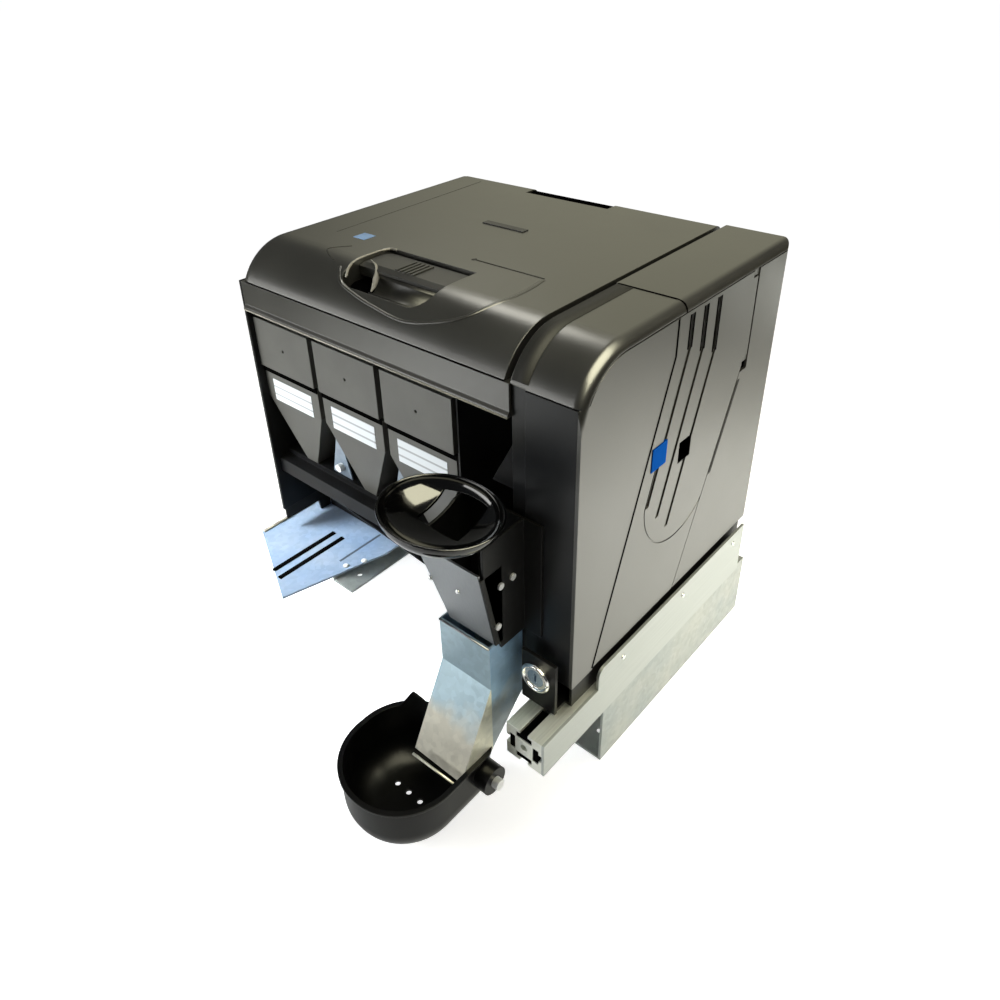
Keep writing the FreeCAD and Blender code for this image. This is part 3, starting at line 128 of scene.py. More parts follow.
def plastic(name, colour, rough, grain=0.9, relief=0.06, mottle=0.1, edge=0.7, specular=0.5):
    material, tree, shader, coords = startMaterial(name)
    cloud = noiseNode(tree, coords, patterns["cloud"], detail=4)
    low, high = [[c * (1 + side * mottle) for c in colour] for side in (-1, 1)]
    tone = rampNode(tree, cloud.outputs["Fac"], low, high)
    tree.links.new(tone.outputs["Color"], shader.inputs["Base Color"])
    wear = spreadNode(tree, cloud.outputs["Fac"], low=rough - 0.05, high=rough + 0.07)
    tree.links.new(wear.outputs["Result"], shader.inputs["Roughness"])
    spark = noiseNode(tree, coords, grain, detail=2)
    reliefNode(tree, spark.outputs["Fac"], shader, strength=0.3, depth=relief, edge=edge)
    shader.inputs["Specular IOR Level"].default_value = specular
    return material


# Zinc sheet: with fade, a painted reflection turns it from cool to warm between the two heights of fade,
# and side tints its right faces with painted light
def zinc(name, cool, warm, rough=0.38, metallic=0.6, size=55, fade=None, side=None):
    material, tree, shader, coords = startMaterial(name)
    cloud = noiseNode(tree, coords, size, detail=3)
    source = cloud.outputs["Fac"]
    # Painted reflection: the tone shifts from cool to warm with height
    if fade:
        place = tree.nodes.new("ShaderNodeSeparateXYZ")
        tree.links.new(coords.outputs["Object"], place.inputs["Vector"])
        start, end = (spot(0, 0, height).z for height in fade)
        slope = spreadNode(tree, place.outputs["Z"], low=-0.3, high=0.3, start=start, end=end)
        source = mathNode(tree, "ADD", source, slope.outputs["Result"])
    tone = rampNode(tree, source, cool, warm, start=0.36, end=0.66)
    # Painted light: faces turned to the right take the side tint
    if side:
        facing = tree.nodes.new("ShaderNodeNewGeometry")
        turn = tree.nodes.new("ShaderNodeSeparateXYZ")
        tree.links.new(facing.outputs["Normal"], turn.inputs["Vector"])
        rightFaceLight = rampNode(tree, turn.outputs["X"], (1, 1, 1), side, start=0.5, end=0.8)
        plain = tone
        tone = tree.nodes.new("ShaderNodeMixRGB")
        tone.blend_type = "MULTIPLY"
        tone.inputs["Fac"].default_value = 1.0
        tree.links.new(plain.outputs["Color"], tone.inputs["Color1"])
        tree.links.new(rightFaceLight.outputs["Color"], tone.inputs["Color2"])
    spangle = tree.nodes.new("ShaderNodeTexVoronoi")
    spangle.inputs["Scale"].default_value = 1 / (patterns["spangle"] * mm)
    tree.links.new(coords.outputs["Object"], spangle.inputs["Vector"])
    flake = tree.nodes.new("ShaderNodeHueSaturation")
    shade = tree.nodes.new("ShaderNodeSeparateColor")
    tree.links.new(spangle.outputs["Color"], shade.inputs["Color"])
    value = spreadNode(tree, shade.outputs["Red"], low=0.92, high=1.06)
    tree.links.new(value.outputs["Result"], flake.inputs["Value"])
    tree.links.new(tone.outputs["Color"], flake.inputs["Color"])
    tree.links.new(flake.outputs["Color"], shader.inputs["Base Color"])
    shine = spreadNode(tree, shade.outputs["Green"], low=rough - 0.05, high=rough + 0.08)
    tree.links.new(shine.outputs["Result"], shader.inputs["Roughness"])
    ripple = noiseNode(tree, coords, patterns["ripple"], detail=2)
    reliefNode(tree, ripple.outputs["Fac"], shader, strength=0.1, depth=0.4, edge=0.5)
    shader.inputs["Metallic"].default_value = metallic
    return material


def drawnMetal(name, colour, rough, stretch, scratch=0.05, metallic=1.0, edge=0.4):
    material, tree, shader, coords = startMaterial(name)
    streak = noiseNode(tree, coords, patterns["streak"], stretch=stretch, detail=4)
    low, high = [[min(c * share, 1) for c in colour] for share in (0.9, 1.05)]
    tone = rampNode(tree, streak.outputs["Fac"], low, high)
    tree.links.new(tone.outputs["Color"], shader.inputs["Base Color"])
    shine = spreadNode(tree, streak.outputs["Fac"], low=rough - 0.06, high=rough + 0.1)
    tree.links.new(shine.outputs["Result"], shader.inputs["Roughness"])
    reliefNode(tree, streak.outputs["Fac"], shader, strength=0.15, depth=scratch, edge=edge)
    shader.inputs["Metallic"].default_value = metallic
    return material


# Paper with ruled lines: the wave texture turns by 20 radians over one unit of its scale
def paper(name, colour, ruleColour, pitch, rough=0.55):
    material, tree, shader, coords = startMaterial(name)
    waveTurn = 20
    wave = tree.nodes.new("ShaderNodeTexWave")
    wave.bands_direction = "Z"
    wave.inputs["Scale"].default_value = 2 * math.pi / (waveTurn * pitch * mm)
    wave.inputs["Distortion"].default_value = 0.0
    tree.links.new(coords.outputs["Object"], wave.inputs["Vector"])
    lines = rampNode(tree, wave.outputs["Fac"], ruleColour, colour, start=0.04, end=0.2)
    tree.links.new(lines.outputs["Color"], shader.inputs["Base Color"])
    fibre = noiseNode(tree, coords, patterns["fibre"], detail=3)
    reliefNode(tree, fibre.outputs["Fac"], shader, strength=0.2, depth=0.03)
    shader.inputs["Roughness"].default_value = rough
    return material


finishes = {
    "casing_plastic": plastic("casingPlastic", (0.036, 0.035, 0.0285), 0.3, specular=1.0),
    # The tower's near-black is darker than the casing plastic, and is partly painted shade on its dark
    # front column
    "tower_plastic": plastic("towerShadedPlastic", (0.010, 0.0105, 0.0115), 0.3, mottle=0.2, specular=0.3),
    "hopper_plastic": plastic("hopperPlastic", (0.085, 0.084, 0.074), 0.42, mottle=0.16),
    "gloss_black": plastic("glossBlack", (0.004, 0.004, 0.004), 0.08, relief=0.0, edge=0.5, specular=0.68),
    "black_sheet": plastic("blackPaint", (0.006, 0.006, 0.0065), 0.42, grain=1.6, relief=0.05,
                           specular=0.2),
    "galvanised": zinc("zincSheet", (0.40, 0.45, 0.46), (0.54, 0.54, 0.48), metallic=0.4),
    "rail_alloy": drawnMetal("railAlloy", (0.74, 0.76, 0.70), 0.34, (1, 40, 1), metallic=0.5),
    "polished_metal": drawnMetal("polishedMetal", (0.82, 0.82, 0.83), 0.14, (1, 1, 1), 0.01),
    "button_blue": plastic("buttonBlue", (0.008, 0.11, 0.52), 0.5, specular=0.0),
    "belt_rubber": plastic("beltRubber", (0.02, 0.02, 0.02), 0.7, grain=0.5),
    "white_acetal": plastic("whiteAcetal", (0.72, 0.72, 0.68), 0.4, mottle=0.04),
    "motor_steel": drawnMetal("motorSteel", (0.30, 0.31, 0.32), 0.36, (1, 1, 30)),
    "board_green": plastic("boardGreen", (0.02, 0.16, 0.06), 0.35, grain=2.5),
    "inlet_black": plastic("inletBlack", (0.02, 0.02, 0.02), 0.5),
}
extras = {
    "labelPaper": paper("labelPaper", (0.78, 0.82, 0.84), (0.42, 0.44, 0.45), pitch=8.4),
    # A flat black without reflection, painted as the shade in seams, slots, vents, recesses and the hinge
    # notch
    "shadeBlack": plastic("shadeBlack", (0.002, 0.002, 0.002), 0.7, edge=0.0, specular=0.0),
    # A pale plastic painted as highlights on ridges and edges
    "paleHighlight": plastic("paleHighlight", (0.42, 0.40, 0.33), 0.4, mottle=0.15),
    "darkGrip": plastic("darkGrip", (0.020, 0.0195, 0.017), 0.42, specular=0.45),
    # A dull dark plastic painted as the shade in grooves, on the shoulder's inset margin and under the left
    # panel
    "dullShade": plastic("dullShade", (0.012, 0.0115, 0.010), 0.6, specular=0.25),
    "skyFilm": plastic("skyFilm", (0.30, 0.54, 0.95), 0.25, mottle=0.4, grain=3.0),
    # The tray's zinc is tinted blue to paint the blue reflection on it
    "trayBlueSheenZinc": zinc("trayBlueSheenZinc", (0.27, 0.38, 0.55), (0.37, 0.46, 0.58), rough=0.45, metallic=0.1),
    # A pale cream zinc painted as the warm light on the chute's end and on the front of its right wall
    "creamSheenZinc": zinc("creamSheenZinc", (0.56, 0.56, 0.47), (0.70, 0.68, 0.54), rough=0.36, metallic=0.5),
    "fenceAlloy": drawnMetal("fenceAlloy", (0.42, 0.445, 0.425), 0.42, (1, 60, 1), metallic=0.3),
    # The chute's zinc paints its light: a reflection from cool above to warm below, and a bluer light on
    # its right faces
    "chuteZinc": zinc("chuteZinc", (0.36, 0.48, 0.54), (0.52, 0.50, 0.42), rough=0.34, metallic=0.35,
                      size=48, fade=(0, -60), side=(0.62, 0.76, 0.98)),
    "channelZinc": zinc("channelZinc", (0.30, 0.33, 0.325), (0.37, 0.385, 0.355), metallic=0.3),
    "plateSteel": drawnMetal("plateSteel", (0.24, 0.255, 0.265), 0.34, (1, 1, 30), metallic=0.4),
    # The lock plug is tinted blue to paint the bluish reflection in it
    "plugBlueSheenSteel": drawnMetal("plugBlueSheenSteel", (0.40, 0.52, 0.66), 0.2, (1, 1, 1), metallic=0.8),
    "tanEdge": plastic("tanEdge", (0.40, 0.36, 0.27), 0.5),
    # A slate plastic painted as the shade in the tray's groove
    "slateShade": plastic("slateShade", (0.10, 0.13, 0.17), 0.5),
    "dividerZinc": zinc("dividerZinc", (0.17, 0.22, 0.28), (0.26, 0.31, 0.36), metallic=0.2),
    "cupBlack": plastic("cupBlack", (0.006, 0.006, 0.006), 0.3, relief=0.02, specular=0.18),
    "chipBlack": plastic("chipBlack", (0.012, 0.012, 0.013), 0.45),
    "tinned": drawnMetal("tinned", (0.93, 0.93, 0.92), 0.4, (1, 1, 1), metallic=0.1),
}
nodeFinish = {
    "front_tray": "trayBlueSheenZinc", "rail_fences": "fenceAlloy", "lid_paddle": "darkGrip",
    "payout_chute": "chuteZinc", "bracket_fasteners": "tinned", "base_channel_left": "channelZinc",
    "base_channel_right": "channelZinc", "return_plate": "plateSteel", "lock_plug": "plugBlueSheenSteel",
    # The lid's hinge bracket is black, and its flat black also paints the shade in its notch
    "hopper_dividers": "dividerZinc", "lid_hinge_bracket": "shadeBlack", "payout_cup": "cupBlack",
}
for entry in frame["record"]["subparts"]:
    nodeMaterials = nodes[entry["node"]].data.materials
    nodeMaterials.clear()
    special = nodeFinish.get(entry["node"])
    nodeMaterials.append(extras[special] if special else finishes[entry["material_slot"]])
print("finishes assigned")


# Mesh helpers: each adds a closed form to a mesh, and finishPiece makes it an object that rides a body
def finishPiece(name, mesh, body, slotName, extra=None, smooth=False):
    bmesh.ops.recalc_face_normals(mesh, faces=mesh.faces)
    for face in mesh.faces:
        face.smooth = smooth
    data = bpy.data.meshes.new(name)
    mesh.to_mesh(data)
    mesh.free()
    piece = bpy.data.objects.new(name, data)
    bpy.context.scene.collection.objects.link(piece)
    data.materials.append(extras[extra] if extra else finishes[slotName])
    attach(piece, body)


def addBlock(mesh, low, high, soften=0.0, segments=2):
    made = bmesh.ops.create_cube(mesh, size=1.0)["verts"]
    bmesh.ops.scale(mesh, vec=[(b - a) * mm for a, b in zip(low, high)], verts=made)
    bmesh.ops.translate(mesh, vec=spot(*[(a + b) / 2 for a, b in zip(low, high)]), verts=made)
    if soften:
        edges = list({edge for vert in made for edge in vert.link_edges})
        bmesh.ops.bevel(mesh, geom=edges, offset=soften * mm, affect="EDGES", segments=segments,
                        profile=0.5, material=-1)


# A turned form: its profile lists radius and height along the axis, from the axis back to the axis
def addTurned(mesh, profile, place, axis, steps=28):
    turn = Vector((0, 0, 1)).rotation_difference(Vector(axis)).to_matrix().to_4x4()
    matrix = Matrix.Translation(spot(*place)) @ turn
    rings = []
    for radius, height in profile:
        if radius == 0:
            rings.append([mesh.verts.new(matrix @ Vector((0, 0, height * mm)))])
            continue
        ring = []
        for step in range(steps):
            angle = 2 * math.pi * step / steps
            point = Vector((radius * math.cos(angle), radius * math.sin(angle), height)) * mm
            ring.append(mesh.verts.new(matrix @ point))
        rings.append(ring)
    for lower, upper in zip(rings, rings[1:]):
        for step in range(steps):
            after = (step + 1) % steps
            corners = [lower[step % len(lower)], lower[after % len(lower)], upper[after % len(upper)],
                       upper[step % len(upper)]]
            mesh.faces.new(list(dict.fromkeys(corners)))


# A screw head, whose profile is in shares of its radius and height
head = {"sink": 0.2, "profile": ((1, 0.45), (0.86, 0.8), (0.55, 1), (0, 1)), "steps": 20}


def addHead(mesh, place, axis, radius, height):
    profile = [(0, -head["sink"]), (radius, -head["sink"])]
    profile += [(radius * across, height * up) for across, up in head["profile"]]
    addTurned(mesh, profile, place, axis, head["steps"])


# A bar along a path: flat is its height over its width, and the taper thins its ends down to a blunt tip
def addBar(mesh, path, radius, sides=8, flat=1.0, up=(0, 0, 1), taper=0.0):
    points = [spot(*point) for point in path]
    tip = 0.2
    rings = []
    for index, point in enumerate(points):
        along = (index + tip) / (len(points) - 1 + 2 * tip)
        size = radius * (1 - taper + taper * math.sin(math.pi * along))
        ahead = (points[min(index + 1, len(points) - 1)] - points[max(index - 1, 0)]).normalized()
        across = ahead.cross(Vector(up)).normalized()
        rise = across.cross(ahead)
        ring = []
        for side in range(sides):
            angle = 2 * math.pi * side / sides
            out = across * math.cos(angle) + rise * math.sin(angle) * flat
            ring.append(mesh.verts.new(point + out * size * mm))
        rings.append(ring)
    for lower, upper in zip(rings, rings[1:]):
        for side in range(sides):
            after = (side + 1) % sides
            mesh.faces.new((lower[side], lower[after], upper[after], upper[side]))
    mesh.faces.new(rings[0])
    mesh.faces.new(rings[-1])


# A smooth line through a few chosen points
def smoothLine(points, steps=8):
    padded = [points[0], *points, points[-1]]
    line = []
    for before, start, end, after in zip(padded, padded[1:], padded[2:], padded[3:]):
        for step in range(steps):
            t = step / steps
            line.append(tuple(0.5 * (2 * b + (c - a) * t + (2 * a - 5 * b + 4 * c - d) * t * t
                                     + (3 * b - a - 3 * c + d) * t ** 3)
                              for a, b, c, d in zip(before, start, end, after)))
    return [*line, points[-1]]


# A closed skin over rows of four points: lower and upper at the left, then lower and upper at the right
def addSkin(mesh, rows):
    for near, far in zip(rows, rows[1:]):
        for a, b in ((0, 1), (1, 3), (3, 2), (2, 0)):
            mesh.faces.new((near[a], near[b], far[b], far[a]))
    for row in (rows[0], rows[-1]):
        mesh.faces.new((row[0], row[1], row[3], row[2]))


# A plate with a polygon outline: flat is the axis it is thin along, from low to high
def addPlate(mesh, outline, flat, low, high):
    def corner(u, v, level):
        place = [u, v]
        place.insert("xyz".index(flat), level)
        return mesh.verts.new(spot(*place))

    lower = [corner(u, v, low) for u, v in outline]
    upper = [corner(u, v, high) for u, v in outline]
    mesh.faces.new(lower)
    mesh.faces.new(upper)
    for index in range(len(outline)):
        after = (index + 1) % len(outline)
        mesh.faces.new((lower[index], lower[after], upper[after], upper[index]))


# Hopper labels: paper cards with plain ruled lines on the funnels
hopperCount = 3
labels = {"wide": 58, "foot": 135.5, "top": 158.5, "thick": 0.35, "edge": 0.12}


def makeLabels():
    for index in range(hopperCount):
        mesh = bmesh.new()
        low, high = nodeBox(f"hopper_bin_{index + 1}")
        middle = (low.x + high.x) / 2
        addBlock(mesh, (middle - labels["wide"] / 2, low.y - labels["thick"], labels["foot"]),
                 (middle + labels["wide"] / 2, low.y, labels["top"]), labels["edge"], segments=1)
        finishPiece(f"hopperLabel{index + 1}", mesh, "chassis", "white_acetal", "labelPaper")


makeLabels()
print("labels made")


# Height of the lid's outside over its depth: a flat crown and a round nose
nose = {"depth": 50, "radius": 54.4, "crown": nodeBox("lid")[1].z}


def lidHeight(y):
    if y >= nose["depth"]:
        return nose["crown"]
    return nose["crown"] - nose["radius"] + math.sqrt(nose["radius"] ** 2 - (nose["depth"] - y) ** 2)


def onLid(points, sink=0.0):
    return [(x, y, lidHeight(y) - sink) for x, y in points]


# Moulded lines on the lid: a crescent bead round the grip; a hook, a line with a round end and a parting
# are dark bars of painted groove shade
lidLines = {
    "bead": [(112, 30), (120, 22), (129, 17), (150, 13), (171, 10.6), (206, 8.5), (234, 12.6), (258, 22),
             (270, 38), (275, 57), (275, 78), (272, 98)],
    "beadRadius": 2.2, "beadFlat": 0.5, "beadSink": 0.5,
    "hook": [(99, 34), (86, 39), (78, 45), (82, 53), (90, 62)], "hookSink": 0.5,
    "line": [(198, 100), (235, 100), (271, 100)], "lineSink": 0.6, "grooveRadius": 0.9,
    "endRadius": 1.9, "endTall": 0.25,
    "parting": [(48, 80), (46, 150), (44, 230), (42, 284)], "partingRadius": 0.5, "partingSink": 0.3,
}


def makeLidLines():
    mesh = bmesh.new()
    bead = onLid(smoothLine(lidLines["bead"]), lidLines["beadSink"])
    addBar(mesh, bead, lidLines["beadRadius"], sides=10, flat=lidLines["beadFlat"])
    finishPiece("lidBead", mesh, "lid", "casing_plastic", smooth=True)
    mesh = bmesh.new()
    hook = onLid(smoothLine(lidLines["hook"]), lidLines["hookSink"])
    addBar(mesh, hook, lidLines["grooveRadius"], sides=6)
    addBar(mesh, onLid(lidLines["line"], lidLines["lineSink"]), lidLines["grooveRadius"], sides=6)
    lineEnd = onLid(lidLines["line"])[0]
    addHead(mesh, lineEnd, (0, 0, 1), lidLines["endRadius"], lidLines["endTall"])
    parting = onLid(smoothLine(lidLines["parting"]), lidLines["partingSink"])
    addBar(mesh, parting, lidLines["partingRadius"], sides=6)
    finishPiece("lidGrooveShade", mesh, "lid", "casing_plastic", "dullShade")


# A plain film patch and a blank dark plaque on the lid
lidPlates = {
    "lidFilm": {"low": (71.5, 79, 289.9), "high": (86.5, 93, 290.25), "edge": 0.1, "finish": "skyFilm"},
    "lidPlaque": {"low": (139, 177, 289.9), "high": (187, 185, 290.9), "edge": 0.35,
                  "finish": "chipBlack"},
}


def makeLidPlates():
    for name, plate in lidPlates.items():
        mesh = bmesh.new()
        addBlock(mesh, plate["low"], plate["high"], plate["edge"])
        finishPiece(name, mesh, "lid", "casing_plastic", plate["finish"])


# Grip recess: a hollowed wall under the paddle, a curved blade at its left painted pale as a highlight, a
# black plate painted as the shade in the pit and a rim painted pale as a highlight
grip = {
    "left": 141, "right": 219.7, "lean": 0.65, "rear": 46, "floor": 266.1,
    "hollow": [(41.8, 282.6), (41.2, 279.6), (39.4, 276.8), (36.4, 274.6), (32.2, 273.4), (27.6, 273.4),
               (23.0, 274.8), (19.2, 277.2), (17.2, 279.0)],
    "blade": [(127, 50.5, 289.2), (136, 48, 287), (142.5, 43, 283), (147.5, 36, 279.6), (152, 29.5, 277.4),
              (156, 23, 276.4)],
    "bladeRadius": 2.6, "bladeFlat": 0.45, "bladeUp": (0, 1, 1), "bladeTaper": 0.85,
    "rim": [(128.5, 79.0), (122.2, 77.4), (119.1, 71), (118.4, 60), (118.3, 50), (118.6, 38), (121.6, 30),
            (127, 23)],
    "rimRadius": 1.1, "rimSink": 0.3,
    "pit": [(120.4, 60), (120.4, 36), (125, 27.5), (133, 21), (143, 18), (155, 22), (148, 35), (142, 44),
            (134, 60)],
    "pitShadeTop": 272.5,
}


def gripLeft(y):
    return grip["left"] + (grip["rear"] - y) * grip["lean"]


def makeGrip():
    mesh = bmesh.new()
    rows = []
    for y, z in grip["hollow"]:
        rows.append([mesh.verts.new(spot(x, y, height)) for x in (gripLeft(y), grip["right"])
                     for height in (grip["floor"], z)])
    addSkin(mesh, rows)
    finishPiece("gripHollow", mesh, "lid", "casing_plastic", "darkGrip", smooth=True)
    mesh = bmesh.new()
    addBar(mesh, smoothLine(grip["blade"]), grip["bladeRadius"], sides=10, flat=grip["bladeFlat"],
           up=grip["bladeUp"], taper=grip["bladeTaper"])
    finishPiece("gripBladeHighlight", mesh, "lid", "casing_plastic", "paleHighlight", smooth=True)
    mesh = bmesh.new()
    addBar(mesh, onLid(smoothLine(grip["rim"]), grip["rimSink"]), grip["rimRadius"])
    finishPiece("gripRimHighlight", mesh, "lid", "casing_plastic", "paleHighlight", smooth=True)
    mesh = bmesh.new()
    addPlate(mesh, grip["pit"], "z", grip["floor"], grip["pitShadeTop"])
    finishPiece("gripPitShade", mesh, "lid", "casing_plastic", "shadeBlack")


# A darker skin painted as shade on the shoulder's inset inner margin, from the split line over the nose
margin = {"left": 320.6, "right": 335, "rear": 125.4, "front": 1.5, "rise": 0.25, "sink": 0.3, "steps": 40,
          "crowding": 1.6}


def makeMargin():
    mesh = bmesh.new()
    rows = []
    for step in range(margin["steps"] + 1):
        share = (step / margin["steps"]) ** margin["crowding"]
        y = margin["front"] + (margin["rear"] - margin["front"]) * share
        rows.append([mesh.verts.new(spot(x, y - lift * (y < nose["depth"]), lidHeight(y) + lift))
                     for x in (margin["left"], margin["right"])
                     for lift in (-margin["sink"], margin["rise"])])
    addSkin(mesh, rows)
    finishPiece("shoulderMarginShade", mesh, "chassis", "casing_plastic", "dullShade", smooth=True)


makeMargin()
makeLidLines()
makeLidPlates()
makeGrip()
print("lid details made")


# Stiffening ribs under the lid
lidRibs = {"places": (40, 100, 240, 290), "thick": 1.8, "front": 70, "rear": 262, "foot": 280,
           "top": 287.6}


def makeLidRibs():
    mesh = bmesh.new()
    for x in lidRibs["places"]:
        addBlock(mesh, (x, lidRibs["front"], lidRibs["foot"]),
                 (x + lidRibs["thick"], lidRibs["rear"], lidRibs["top"]))
    finishPiece("lidRibs", mesh, "lid", "casing_plastic")


# Black lining painted as the shade in the finger recess, and ribs on the back of the side door
doorBack = {
    "recess": (367.6, 137.1, 146.1), "recessEnd": (379.9, 155.9, 165.9), "shadeThick": 0.7,
    "ribs": ((64, 20, 84), (84, 20, 132), (176, 90, 262), (196, 120, 262)), "ribThick": 1.8,
    "ribFrom": 373.0, "ribTo": 377.1,
}


def makeDoorBack():
    mesh = bmesh.new()
    (x0, y0, z0), (x1, y1, z1), t = doorBack["recess"], doorBack["recessEnd"], doorBack["shadeThick"]
    for low, high in (((x0, y0, z0), (x0 + t, y1, z1)), ((x0, y0, z0), (x1, y0 + t, z1)),
                      ((x0, y1 - t, z0), (x1, y1, z1)), ((x0, y0, z0), (x1, y1, z0 + t)),
                      ((x0, y0, z1 - t), (x1, y1, z1))):
        addBlock(mesh, low, high)
    finishPiece("fingerRecessShade", mesh, "side_door", "casing_plastic", "shadeBlack")
    mesh = bmesh.new()
    for y, foot, top in doorBack["ribs"]:
        addBlock(mesh, (doorBack["ribFrom"], y, foot), (doorBack["ribTo"], y + doorBack["ribThick"], top))
    finishPiece("doorRibs", mesh, "side_door", "casing_plastic")


makeLidRibs()
makeDoorBack()
print("lid ribs and door back made")


# Bowl: a rolled rim round the ellipse
bowlRim = {"x": 292, "y": -47, "z": 164.6, "wide": 50.2, "deep": 42.2, "radius": 1.0, "steps": 96,
           "sides": 10}


def makeBowlRim():
    mesh = bmesh.new()
    rings = []
    for step in range(bowlRim["steps"]):
        turn = 2 * math.pi * step / bowlRim["steps"]
        out = Vector((math.cos(turn) * bowlRim["deep"], math.sin(turn) * bowlRim["wide"], 0)).normalized()
        middle = spot(bowlRim["x"] + bowlRim["wide"] * math.cos(turn),
                      bowlRim["y"] + bowlRim["deep"] * math.sin(turn), bowlRim["z"])
        ring = []
        for side in range(bowlRim["sides"]):
            angle = 2 * math.pi * side / bowlRim["sides"]
            away = out * math.cos(angle) + Vector((0, 0, math.sin(angle)))
            ring.append(mesh.verts.new(middle + away * bowlRim["radius"] * mm))
        rings.append(ring)
    for step, ring in enumerate(rings):
        after = rings[(step + 1) % len(rings)]
        for side in range(bowlRim["sides"]):
            other = (side + 1) % bowlRim["sides"]
            mesh.faces.new((ring[side], ring[other], after[other], after[side]))
    finishPiece("bowlRim", mesh, "chassis", "gloss_black", smooth=True)


# Chute: a cream plate on the front of the duct's right wall painted as light on it, a lip ahead of its end
# in the same painted cream sheen, a rim bar and the plate's screws
chute = {
    "sheen": [(-42.2, 1), (-42.2, -70), (-60, -87.4), (-81.4, -75.6)], "sheenFace": 331.02, "sheenThick": 0.4,
    "lip": ((285, -91.4, -67.6), (331, -90.2, -67.6)), "lipRadius": 1.2,
    "rim": ((277.3, -42.6, 45.4), (330.7, -42.6, 45.4)), "rimRadius": 0.9,
    "screws": ((275.5, -46.9, 91), (304, -45.6, 92.5), (296, -43.8, 110)), "screwRadius": 2.2,
    "screwTall": 1.4, "screwAxis": (0, -1, 0.2),
}


def makeChuteParts():
    mesh = bmesh.new()
    addPlate(mesh, chute["sheen"], "x", chute["sheenFace"], chute["sheenFace"] + chute["sheenThick"])
    finishPiece("chuteSheenPlate", mesh, "chassis", "galvanised", "creamSheenZinc")
    mesh = bmesh.new()
    addBar(mesh, chute["lip"], chute["lipRadius"])
    finishPiece("chuteLip", mesh, "chassis", "galvanised", "creamSheenZinc", smooth=True)
    mesh = bmesh.new()
    addBar(mesh, chute["rim"], chute["rimRadius"])
    finishPiece("chuteRim", mesh, "chassis", "motor_steel", smooth=True)
    mesh = bmesh.new()
    for place in chute["screws"]:
        addHead(mesh, place, chute["screwAxis"], chute["screwRadius"], chute["screwTall"])
    finishPiece("plateScrews", mesh, "chassis", "polished_metal", smooth=True)


makeBowlRim()
makeChuteParts()
print("bowl rim and chute parts made")


# Front tray: dark strips painted as the shade in its two slots and its groove, a tan flange at the left and
# two screws
tray = {
    "strips": [((43.6, -51, -27.9), (49.4, 28, -25.8)), ((57.6, -55, -27.9), (63.4, 28, -25.8))],
    "groove": ((86.4, 1, -26.9), (88.8, 57, -25.85)), "flange": [(-13.4, -20, -25.2), (-13.4, 48, -25.2)],
    "flangeRadius": 1.5, "screws": ((98, 0, -26), (106.5, 17, -26)), "screwRadius": 3.0,
    "screwTall": 1.6,
}


def makeTrayParts():
    mesh = bmesh.new()
    for low, high in tray["strips"]:
        addBlock(mesh, low, high)
    finishPiece("traySlotShade", mesh, "chassis", "black_sheet", "shadeBlack")
    mesh = bmesh.new()
    addBlock(mesh, *tray["groove"])
    finishPiece("trayGrooveShade", mesh, "chassis", "black_sheet", "slateShade")
    mesh = bmesh.new()
    addBar(mesh, tray["flange"], tray["flangeRadius"])
    finishPiece("trayFlange", mesh, "chassis", "galvanised", "tanEdge", smooth=True)
    mesh = bmesh.new()
    for place in tray["screws"]:
        addHead(mesh, place, (0, 0, 1), tray["screwRadius"], tray["screwTall"])
    finishPiece("trayScrews", mesh, "chassis", "polished_metal", "tinned", smooth=True)


# Front bay: dark blocks painted as the shade in the seams under the hopper plates, and a pale bar painted
# as a highlight on the lower edge of the beam
bay = {"seamFoot": 164.4, "seamTop": 170.9, "seamOut": 7.2, "face": 8.05, "edgeRadius": 0.75,
       "edge": [(3.4, -1.9, 230.3), (318.6, -1.9, 230.3)]}


def makeBayLines():
    mesh = bmesh.new()
    for index in range(hopperCount):
        low, high = nodeBox(f"hopper_bin_{index + 1}")
        addBlock(mesh, (low.x, bay["seamOut"], bay["seamFoot"]), (high.x, bay["face"], bay["seamTop"]))
    finishPiece("plateSeamShade", mesh, "chassis", "black_sheet", "shadeBlack")
    mesh = bmesh.new()
    addBar(mesh, bay["edge"], bay["edgeRadius"])
    finishPiece("beamEdgeHighlight", mesh, "chassis", "casing_plastic", "paleHighlight", smooth=True)


# Dark bars painted as the shade in the door's front seam and over the shoulder's split, and a dull plate
# painted as the shade in a groove behind the door
seams = {
    "paths": [[(379.6, 116.4, 280), (379.6, 116.4, 250.4), (379.6, 27.4, 2.4)],
              [(321, 126.5, 289.7), (372, 126.5, 289.7), (375.1, 126.5, 289.0), (377.6, 126.5, 287.5),
               (379.2, 126.5, 285), (379.7, 126.5, 282)]],
    "radius": 0.95, "up": (0.7, 0.1, 0.7), "grooveFrom": 379, "grooveTo": 380.2,
    "groove": [(229.4, 184), (233.6, 184), (200.6, 105), (197.4, 104), (197.2, 106.5)],
}


def makeSeams():
    mesh = bmesh.new()
    for path in seams["paths"]:
        addBar(mesh, path, seams["radius"], up=seams["up"])
    finishPiece("casingSeamShade", mesh, "chassis", "casing_plastic", "shadeBlack")
    mesh = bmesh.new()
    addPlate(mesh, seams["groove"], "x", seams["grooveFrom"], seams["grooveTo"])
    finishPiece("doorGrooveShade", mesh, "chassis", "casing_plastic", "dullShade")


# Dark strips painted as shade beside the door's three open vents, in the door's own plane
ventShade = {"count": 3, "first": 134, "pitch": 20.5, "wide": 4.5, "lip": 1.4, "top": 278, "foot": 250,
            "step": 9, "from": 379.6, "to": 380.15}


